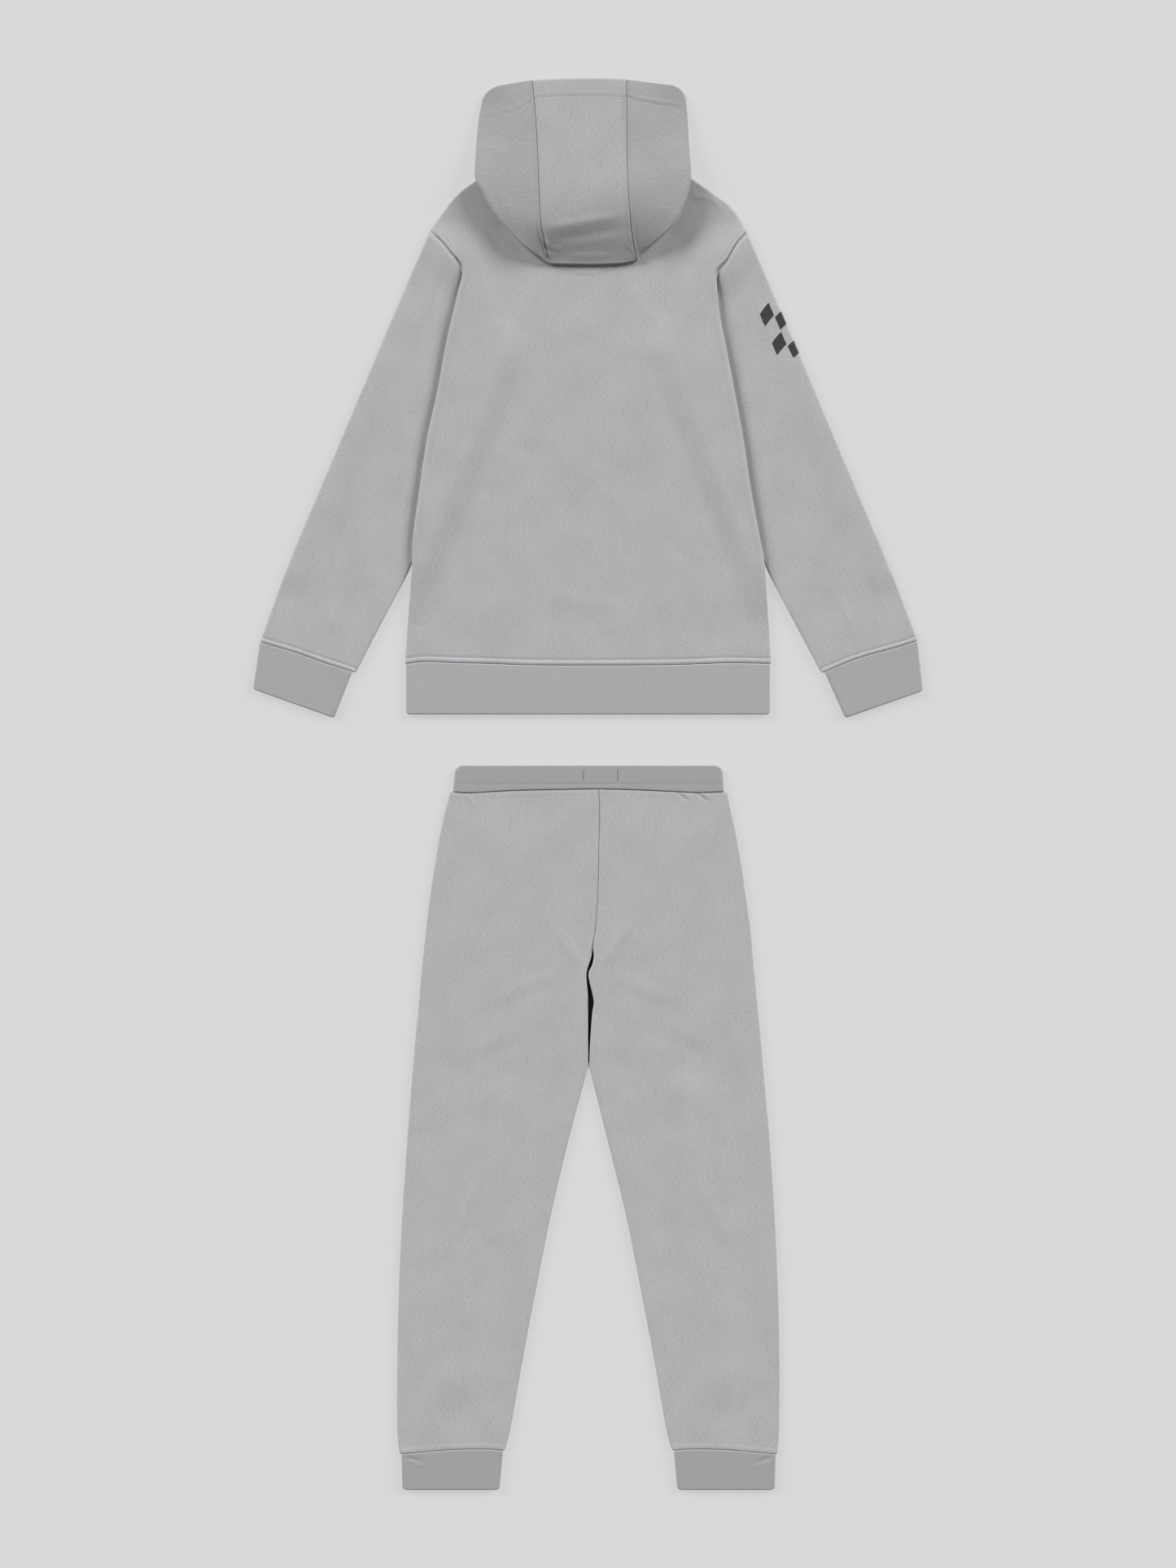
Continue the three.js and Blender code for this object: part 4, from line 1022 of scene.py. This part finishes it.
def hood_centre_x(y, share):
    left = read_table(HOOD_SEAMS, "y", "left", y) + HOOD_SEAM_GAP / 2
    right = read_table(HOOD_SEAMS, "y", "right", y) - HOOD_SEAM_GAP / 2
    return lerp(left, right, share)


def hood_centre_surface(wall_in):
    fold_radius = HOOD_FOLD_HEIGHT / 2
    floor = LAYER_RISE
    middle = FLEECE["wall"] / 2
    near = SEAM_PLACES / HOOD_CENTRE_WIDTH
    inner = np.linspace(near[-1], 1 - near[-1], HOOD_CENTRE_GRID["stations"])[1:-1]
    share = np.concatenate([near, inner, 1 - near[::-1]])[None, :]

    def across(level):
        y = level(hood_centre_x(level(0.0), share))
        return hood_centre_x(y, share), y

    def from_fold(end_y, row):
        """Places at a share of the way from the lower fold to a line, which may be level."""
        def level(x):
            return lerp(line_y(HOOD_LOWER_EDGE, x) + fold_radius, end_y(x), row)

        return across(level)

    row = np.linspace(1, 0, HOOD_CENTRE_GRID["upper"])[:-1, None]
    x, y = from_fold(lambda at_x: line_y(HOOD_MOUTH, at_x), row)
    width = read_table(HOOD_SEAMS, "y", "right", y) - read_table(HOOD_SEAMS, "y", "left", y)
    from_seam = np.minimum(share, 1 - share) * width
    thick = wall_level(pinch(from_seam, FLEECE["wall"]), wall_in)
    upper = np.stack([x, y, hood_top(x, y) + thick + hood_relief(x, y, from_seam)], axis=-1)
    thick = pinch(np.minimum(share, 1 - share) * HOOD_CENTRE_WIDTH, FLEECE["wall"])
    radius = fold_radius - middle + (middle - wall_in) * thick
    reach, rise = fold_point(WHOLE_FOLD[:, None], fold_radius, radius, 1.0)
    x, y = across(lambda at_x: line_y(HOOD_LOWER_EDGE, at_x) + reach)
    level = floor + fold_radius + FOLD_LAYERS[:, None] * radius * rise
    fold = np.stack([x, y, level], axis=-1)
    row = np.linspace(0, 1, HOOD_CENTRE_GRID["under"])[1:, None]
    x, y = from_fold(lambda at_x: HOOD_NECK_Y, row)
    under = np.stack([x, y, floor + middle + (wall_in - middle) * thick + 0 * x], axis=-1)
    return np.concatenate([upper, fold, under])


def hood_centre(material):
    outer = hood_centre_surface(0.0)
    inner = hood_centre_surface(FLEECE["wall"])
    return sew("cloth_hood_centre", outer, inner, False, HOODIE_Y, material), outer


# Joggers


def leg_plan(left_name, right_name):
    def plan(at, share):
        x = between(LEG_LINES, left_name, right_name, at, share)
        waist = line_y(WAIST_SEAM, x) - SEAM_GAP / 2 - LEG_LINES["y"][0]
        ankle = line_y(ANKLE_SEAM, np.abs(x)) + SEAM_GAP / 2 - LEG_LINES["y"][-1]
        bend = waist * (1 - smoothstep(at, 0, 1)) + ankle * smoothstep(at, LEG_LAST - 1, LEG_LAST)
        return x, read_row(LEG_LINES, "y", at) + bend

    return plan


def leg_rolled(half, inner_side):
    def rolled(at, side):
        seat = read_row(LEG_LINES, "rolled", at)
        front = 1 - smoothstep(read_row(LEG_LINES, "y", at), FRONTS_ROLLED_Y, FRONTS_PART_Y)
        return np.where(side == inner_side, seat if half > 0 else front, 1.0)

    return rolled


def leg_relief(inner_name):
    def relief(x, y, at, share):
        from_inner = np.abs(x - read_row(LEG_LINES, inner_name, at))
        seat = smoothstep(y, SLIT["high"], SLIT["high"] + SLIT["soft"])
        slit = smoothstep(y, SLIT["low"], SLIT["low"] + SLIT["soft"]) * (1 - seat)
        return (
            wrinkles(JOGGERS_SWELLS, JOGGERS_CREASES, x, y)
            + seam_relief(WAIST_FINISH, line_y(WAIST_SEAM, x) - y, x)
            + seam_relief(ANKLE_FINISH, y - line_y(ANKLE_SEAM, np.abs(x)), x)
            + seat * seam_relief(SEAT_FINISH, from_inner, y)
            + SLIT["rise"] * slit * bump(from_inner, SLIT["width"])
        )

    return relief


def leg_panel(name, half, side, step, material, inside=None):
    """A seat piece where half is above zero, and the front of a leg where it is below."""
    inner_name = f"{side}{'Seat' if half > 0 else 'Front'}"
    edges = [f"{side}Outer", inner_name][::-OUTWARD[side]]
    piece = {
        "name": f"cloth_{name}_{side}",
        "cloth": FLEECE,
        "half": half,
        "stations": layer_stations(half, even_shares(LEG_WIDTH, step)),
        "plan": leg_plan(*edges),
        "rolled": leg_rolled(half, -OUTWARD[side]),
        "relief": leg_relief(inner_name) if half > 0 else None,
        **plain_rows(*line_rows(0 * LEG_LINES["y"], LEG_LINES["y"], step)),
    }
    # A front's inner faces may take the near-black painted shade of the slit
    return sew_piece(piece, JOGGERS_Y, material, inside)


# Paths on the cloth


def resample(path, pitch):
    points = np.array(path, float)
    along = running(np.hypot(*np.diff(points, axis=0).T))
    places = np.linspace(0, along[-1], max(int(along[-1] / pitch), 2) + 1)
    return np.stack([np.interp(places, along, points[:, i]) for i in range(2)], axis=1)


def leftward(points):
    """The way to the left of a path at each of its points."""
    step = unit(np.gradient(points, axis=0))
    return np.stack([-step[:, 1], step[:, 0]], axis=1)


def beside(path, away):
    """The path moved sideways, to its left where away is above zero."""
    points = resample(path, PATH_PITCH)
    return points + away * leftward(points)


def along_table(rows, gap, inset=0.0):
    """The line of a seam table, moved up by a gap and short of its ends by an inset."""
    xs = np.linspace(rows["x"][0] + inset, rows["x"][-1] - inset, LINE_POINTS)
    return [(x, line_y(rows, x) + gap) for x in xs]


# Seam allowances. A flat strip lies behind each seam, inside the cloth


def allowance(name, path, level, offset_y, material, half=ALLOWANCE["half"]):
    points = resample(path, ALLOWANCE["pitch"])
    shifts = np.linspace(-half, half, ALLOWANCE["stations"])[None, :, None]
    flat = points[:, None] + leftward(points)[:, None] * shifts
    top = (level(points[:, 0], points[:, 1]) + 0 * points[:, 0])[:, None] + 0 * flat[:, :, 0]
    outer = np.concatenate([flat, top[:, :, None]], axis=2)
    inner = outer - [0, 0, ALLOWANCE["wall"]]
    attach(sew(f"allowance_{name}", outer, inner, False, offset_y, material), "root")


def add_allowances(material):
    def inside(x, y):
        return ALLOWANCE["top"]

    def inside_tuck(x, y):
        return ALLOWANCE["top"] + tuck_rise(x, y)

    def inside_hood(x, y):
        return hood_top(x, y) - ALLOWANCE["hood_below"]

    for name, seam, offset_y in (
        ("hem", HEM_SEAM, HOODIE_Y),
        ("cuff_left", CUFF_SEAMS["left"], HOODIE_Y),
        ("cuff_right", CUFF_SEAMS["right"], HOODIE_Y),
        ("waist", WAIST_SEAM, JOGGERS_Y),
        ("ankle_right", ANKLE_SEAM, JOGGERS_Y),
    ):
        path = along_table(seam, 0, ALLOWANCE["inset"])
        allowance(name, path, inside, offset_y, material)
    mirrored = [(-x, y) for x, y in path]
    allowance("ankle_left", mirrored, inside, JOGGERS_Y, material)
    low, high, half = ARMHOLE_ALLOWANCE.values()
    for side in OUTWARD:
        path = armhole_path(side, low, high)
        allowance(f"armhole_{side}", path, inside_tuck, HOODIE_Y, material, half)
        ys = np.linspace(*HOOD_SEAM_ENDS, LINE_POINTS)
        path = list(zip(read_table(HOOD_SEAMS, "y", side, ys), ys))
        allowance(f"hood_{side}", path, inside_hood, HOODIE_Y, material)


# Stitches. A thread lies on the cloth in short runs and goes down into it between them


def laid_on(piece, path, offset_y):
    """The path's points where they lie on the piece, seen from above."""
    tree = BVHTree.FromObject(piece, bpy.context.evaluated_depsgraph_get())
    down = Vector((0, 0, -1))
    starts = [Vector((x * MM, (y + offset_y) * MM, CAST_FROM)) for x, y in path]
    hits = [tree.ray_cast(start, down)[0] for start in starts]
    return np.array([tuple(hit) for hit in hits if hit is not None])


def stitch_run(name, piece, path, offset_y, material, look=STITCH):
    ends = laid_on(piece, resample(path, look["pitch"]), offset_y)
    radius = look["radius"] * MM
    step = ends[1:] - ends[:-1]
    forward = unit(step)
    side = unit(np.cross(forward, [0, 0, 1]))
    above = np.cross(side, forward)
    start = ends[:-1] + step * (1 - look["share"]) / 2
    points = []
    for share, wide, lift in STITCH_RINGS:
        centre = start + step * share * look["share"] + above * lift * radius
        for angle in np.arange(THREAD_SIDES) * 2 * math.pi / THREAD_SIDES:
            round_it = math.cos(angle) * side + math.sin(angle) * above
            points.append(centre + round_it * wide * radius)
    points = np.stack(points, axis=1)
    size = points.shape[1]
    one = stitch_faces()
    faces = [tuple(v + size * n for v in face) for n in range(len(step)) for face in one]
    new_piece(name, points.reshape(-1, 3), faces, material)


def stitch_faces():
    """Faces of one stitch: the bands between its rings, and its two ends."""
    faces = []
    last = (len(STITCH_RINGS) - 1) * THREAD_SIDES
    for low in range(0, last, THREAD_SIDES):
        high = low + THREAD_SIDES
        for i in range(THREAD_SIDES):
            j = (i + 1) % THREAD_SIDES
            faces.append((low + i, high + i, high + j, low + j))
    faces.append(tuple(range(THREAD_SIDES)))
    faces.append(tuple(range(last, last + THREAD_SIDES))[::-1])
    return faces


def new_piece(name, points, faces, material):
    mesh = bpy.data.meshes.new(name)
    mesh.from_pydata([tuple(p) for p in points], [], faces)
    mesh.materials.append(material)
    mesh.polygons.foreach_set("use_smooth", np.ones(len(faces), bool))
    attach(add_object(name, mesh), "root")


def add_stitches(shown, thread, pale_thread, dark_thread):
    def run(name, piece, path, offset_y=HOODIE_Y, look=STITCH, material=thread):
        stitch_run(f"stitches_{name}", shown[piece], path, offset_y, material, look)

    run("hem", "back_panel", along_table(HEM_SEAM, HEM_FINISH["stitch"], HEM_STITCH_INSET))
    run("neck_low", "back_panel", beside(NECK_ARC, 0))
    run("neck_high", "back_panel", beside(NECK_ARC, TWIN_GAP))
    for side, seam in CUFF_SEAMS.items():
        line = beside(list(zip(seam["x"], seam["y"])), CUFF_FINISH["stitch"])
        run(f"cuff_{side}", f"sleeve_{side}", line[2:-2])
    for side, outward in OUTWARD.items():
        line = beside(armhole_path(side), -outward * ARMHOLE_FINISH["stitch"])
        run(f"armhole_{side}", "back_panel", line[2:-1])
    hem = along_table(HOOD_HEM, 0)
    for piece, (low, high) in HOOD_HEM_SPANS.items():
        places = [place for place in hem if low < place[0] < high]
        run(piece.replace("side_", ""), piece, places, material=pale_thread)
    for name, path in HOOD_TACKS.items():
        run(f"hood_tack_{name}", "hood_centre", path)
    run("waist_channel", "waistband", [(x, CHANNEL_Y) for x in CHANNEL_ENDS], JOGGERS_Y)
    for index, path in enumerate(BAR_TACKS):
        run(f"bar_{index}", "waistband", path, JOGGERS_Y, BAR_TACK, dark_thread)


# Print. A generic dark check, wrapped round the outer fold of the right sleeve


def on_tube(grid, along, around):
    """Points and outward ways at lengths along and round a tube, from its first station."""
    spine = running(np.linalg.norm(np.diff(grid[:, 0], axis=0), axis=1))
    row = np.interp(along, spine, np.arange(len(grid)))
    low = np.minimum(row.astype(int), len(grid) - 2)
    points = np.zeros((len(along), len(around), 3))
    for i, (r, part) in enumerate(zip(low, row - low)):
        ring = lerp(grid[r], grid[r + 1], part)
        half = len(ring) // 2
        ring = np.concatenate([ring[-half:], ring[:half]])
        lengths = running(np.linalg.norm(np.diff(ring, axis=0), axis=1))
        lengths -= lengths[half]
        points[i] = np.stack([np.interp(around, lengths, ring[:, k]) for k in range(3)], axis=1)
    outward = np.cross(np.gradient(points, axis=1), np.gradient(points, axis=0))
    return points, unit(outward)


def add_motif(grid, materials):
    for index, (start, end, low, high) in enumerate(MOTIF_BLOCKS):
        for name, layer in MOTIF_LAYERS.items():
            past = layer["past"]
            rows = int((end - start) / MOTIF_STEPS["along"])
            stations = int((high - low) / MOTIF_STEPS["around"])
            along = MOTIF_START + np.linspace(start - past, end + past, rows)
            around = np.linspace(low - past, high + past, stations)
            points, outward = on_tube(grid, along, around)
            points = (points + outward * layer["lift"] + [0, HOODIE_Y, 0]) * MM
            row, station = np.indices((rows - 1, stations - 1))
            corner = (row * stations + station).ravel()
            faces = np.stack([corner, corner + 1, corner + stations + 1, corner + stations], axis=1)
            piece_name = f"motif_{name}_{index}"
            new_piece(piece_name, points.reshape(-1, 3), faces.tolist(), materials[name])


# Materials


def new_material(name, surface):
    material = bpy.data.materials.new(name)
    material.use_nodes = True
    shader = material.node_tree.nodes["Principled BSDF"]
    for socket, value in {"Roughness": surface[0], "Sheen Weight": surface[1], **SHINE}.items():
        shader.inputs[socket].default_value = value
    return material, shader


def add_node(material, kind, vector=None, **settings):
    """A node with its settings, which reads a vector from another node's output if one is given."""
    node = material.node_tree.nodes.new(kind)
    for name, value in settings.items():
        if name in node.inputs:
            node.inputs[name].default_value = value
        else:
            setattr(node, name, value)
    if vector:
        material.node_tree.links.new(vector, node.inputs["Vector"])
    return node


def grey(level, contrast):
    """A slightly violet grey, darker or lighter than its level by a contrast."""
    return tuple(level * (1 + contrast) * tint for tint in GREY_TINT) + (1,)


def colour_by(material, shader, value, level, contrast, between_values=(0.0, 1.0)):
    """Colours the surface by a value, from a darker grey to a lighter one."""
    ramp = add_node(material, "ShaderNodeValToRGB")
    ends = zip(ramp.color_ramp.elements, between_values, (-contrast, contrast))
    for element, position, change in ends:
        element.position = position
        element.color = grey(level, change)
    material.node_tree.links.new(value, ramp.inputs["Fac"])
    material.node_tree.links.new(ramp.outputs["Color"], shader.inputs["Base Color"])


def cloth_material(name, contrast, streak, grain, upright=False, ribs=None):
    """Marl cloth: fine wavy streaks along its courses and a soft grain, with ribs on a rib knit."""
    material, shader = new_material(name, CLOTH_SURFACE)
    place = add_node(material, "ShaderNodeTexCoord").outputs["UV"]
    per_metre = [1 / (length * MM) for length in streak]
    scale = (*(per_metre[::-1] if upright else per_metre), 1)
    stretched = add_node(material, "ShaderNodeMapping", place, Scale=scale).outputs["Vector"]
    streaks = add_node(material, "ShaderNodeTexNoise", stretched, **STREAKS)
    specks = add_node(material, "ShaderNodeTexNoise", place, Scale=1 / (grain * MM), **SPECKS)
    clouds = add_node(material, "ShaderNodeTexNoise", place, **CLOUDS)
    parts = {"streaks": streaks, "specks": specks, "clouds": clouds}
    height = sum_of(material, [(node, WEIGHTS[part]) for part, node in parts.items()])
    if ribs:
        # A wave's scale of pi / 10 gives one wave a metre
        scale = math.pi / 10 / (ribs * MM)
        wave = add_node(material, "ShaderNodeTexWave", place, Scale=scale, bands_direction="X")
        wave.inputs["Distortion"].default_value = RIB_DISTORTION
        height = sum_of(material, [(wave, WEIGHTS["ribs"]), (height, 1 - WEIGHTS["ribs"])])
    colour_by(material, shader, height.outputs[0], GREYS[name], contrast, KNIT_RANGE)
    raised = add_node(material, "ShaderNodeBump", **KNIT_RELIEF)
    material.node_tree.links.new(height.outputs[0], raised.inputs["Height"])
    material.node_tree.links.new(raised.outputs["Normal"], shader.inputs["Normal"])
    return material


def sum_of(material, parts):
    """Adds the values of several nodes, each times its weight."""
    total = None
    for node, weight in parts:
        weighed = add_node(material, "ShaderNodeMath", operation="MULTIPLY_ADD")
        weighed.inputs[1].default_value = weight
        weighed.inputs[2].default_value = 0.0
        value = node.outputs["Fac"] if "Fac" in node.outputs else node.outputs[0]
        material.node_tree.links.new(value, weighed.inputs[0])
        if total:
            material.node_tree.links.new(total.outputs[0], weighed.inputs[2])
        total = weighed
    return total


def flat_material(name, surface):
    """A print or a thread, with a faint grain of its own."""
    material, shader = new_material(name, surface)
    place = add_node(material, "ShaderNodeTexCoord").outputs["Object"]
    grain = add_node(material, "ShaderNodeTexNoise", place, **FLAT_GRAIN)
    colour_by(material, shader, grain.outputs["Fac"], GREYS[name], FLAT_CONTRAST)
    return material


# The set


def settle(piece, name):
    """Ties a piece to the root and hides its solid."""
    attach(piece, "root")
    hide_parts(name)


def build_set():
    fleece = cloth_material("fleece across", **FLEECE_LOOK)
    # The hood's sides: the same fleece with upright grain, set darker as painted shade
    upright = cloth_material("fleece upright with painted shade", upright=True, **FLEECE_LOOK)
    hood = cloth_material("fleece of the hood's centre", **FLEECE_LOOK)
    rib = cloth_material("rib", **RIB_LOOK)
    cuff_rib = cloth_material("cuff rib", **RIB_LOOK)
    waist_rib = cloth_material("waist rib", **RIB_LOOK)
    thread = flat_material("thread", THREAD_SURFACE)
    pale_thread = flat_material("pale thread", THREAD_SURFACE)
    dark_thread = flat_material("dark thread", THREAD_SURFACE)
    # Near-black painted shade for the inner faces of the legs' fronts, which show only down the
    # slit between the legs
    inside = cloth_material("painted slit shade inside the legs", **FLEECE_LOOK)
    dark = flat_material("dark print", PRINT_SURFACE)
    pale = flat_material("pale print rim", PRINT_SURFACE)
    made = [
        body_panel("cloth_back_panel", 1, "back", FINE_STEP, fleece, body_relief),
        body_panel("cloth_front_panel", -1, "front", PLAIN_STEP, fleece),
        *(sleeve(side, fleece) for side in OUTWARD),
    ]
    for side, seam in CUFF_SEAMS.items():
        ends = [seam["x"][0], seam["x"][-1]]
        band = {"seam": seam, "seam_x": ends, "edge": CUFF_EDGES[side], **CUFF}
        made.append(rib_band(f"cuff_{side}", band, HOODIE_Y, cuff_rib))
    made.append(rib_band("hem_band", HEM_BAND, HOODIE_Y, rib))
    made.append(hood_centre(hood))
    made += [hood_side(side, upright) for side in OUTWARD]
    made += [leg_panel("seat", 1, side, FINE_STEP, fleece) for side in OUTWARD]
    made += [leg_panel("leg_front", -1, side, PLAIN_STEP, fleece, inside) for side in OUTWARD]
    made.append(rib_band("waistband", WAISTBAND, JOGGERS_Y, waist_rib, waistband_relief))
    for side, ends in ANKLES.items():
        band = {**ANKLE, **ends}
        made.append(rib_band(f"leg_cuff_{side}", band, JOGGERS_Y, waist_rib, ankle_relief))
    shown = {piece.name.replace("cloth_", ""): piece for piece, _ in made}
    grids = {piece.name.replace("cloth_", ""): grid for piece, grid in made}
    for name, piece in shown.items():
        settle(piece, name)
    add_allowances(fleece)
    add_stitches(shown, thread, pale_thread, dark_thread)
    add_motif(grids["sleeve_right"], {"rim": pale, "block": dark})


# Floor, light and camera


def add_floor():
    bpy.ops.mesh.primitive_plane_add(size=FLOOR["size"], location=(0, 0, FLOOR["level"]))
    floor = bpy.context.object
    floor.name = "floor"
    material, shader = new_material("floor", FLOOR_SURFACE)
    shader.inputs["Base Color"].default_value = (*[TABLE["colour"]] * 3, 1)
    shader.inputs["Emission Color"].default_value = TABLE["glow_colour"]
    shader.inputs["Emission Strength"].default_value = TABLE["glow"]
    floor.data.materials.append(material)


def add_light():
    world = bpy.data.worlds.new("studio")
    world.use_nodes = True
    background = world.node_tree.nodes["Background"]
    background.inputs["Color"].default_value = (1, 1, 1, 1)
    background.inputs["Strength"].default_value = WORLD_STRENGTH
    bpy.context.scene.world = world
    for side, outward in OUTWARD.items():
        sun = bpy.data.lights.new(f"softbox {side}", "SUN")
        sun.energy = SOFTBOX["energy"]
        sun.angle = math.radians(SOFTBOX["spread"])
        tilt = math.radians(SOFTBOX["height"] - 90)
        turn = math.radians(-outward * SOFTBOX["turn"])
        add_object(sun.name, sun).rotation_euler = (tilt, 0, turn)


def add_camera():
    data = bpy.data.cameras.new("camera")
    data.lens = CAMERA["lens"]
    data.sensor_width = CAMERA["sensor"]
    camera = add_object("camera", data)
    camera.location = (0, 0, CAMERA["shown_height"] * data.lens / data.sensor_width)
    bpy.context.scene.camera = camera


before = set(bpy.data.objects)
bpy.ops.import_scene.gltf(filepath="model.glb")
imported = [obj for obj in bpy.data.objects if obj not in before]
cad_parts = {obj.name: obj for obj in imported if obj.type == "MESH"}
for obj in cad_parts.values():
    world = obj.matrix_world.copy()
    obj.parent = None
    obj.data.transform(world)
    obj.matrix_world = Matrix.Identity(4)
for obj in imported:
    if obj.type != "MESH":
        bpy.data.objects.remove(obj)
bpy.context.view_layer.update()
bpy.context.scene.view_settings.view_transform = "Standard"
add_floor()
add_light()
add_camera()
build_set()
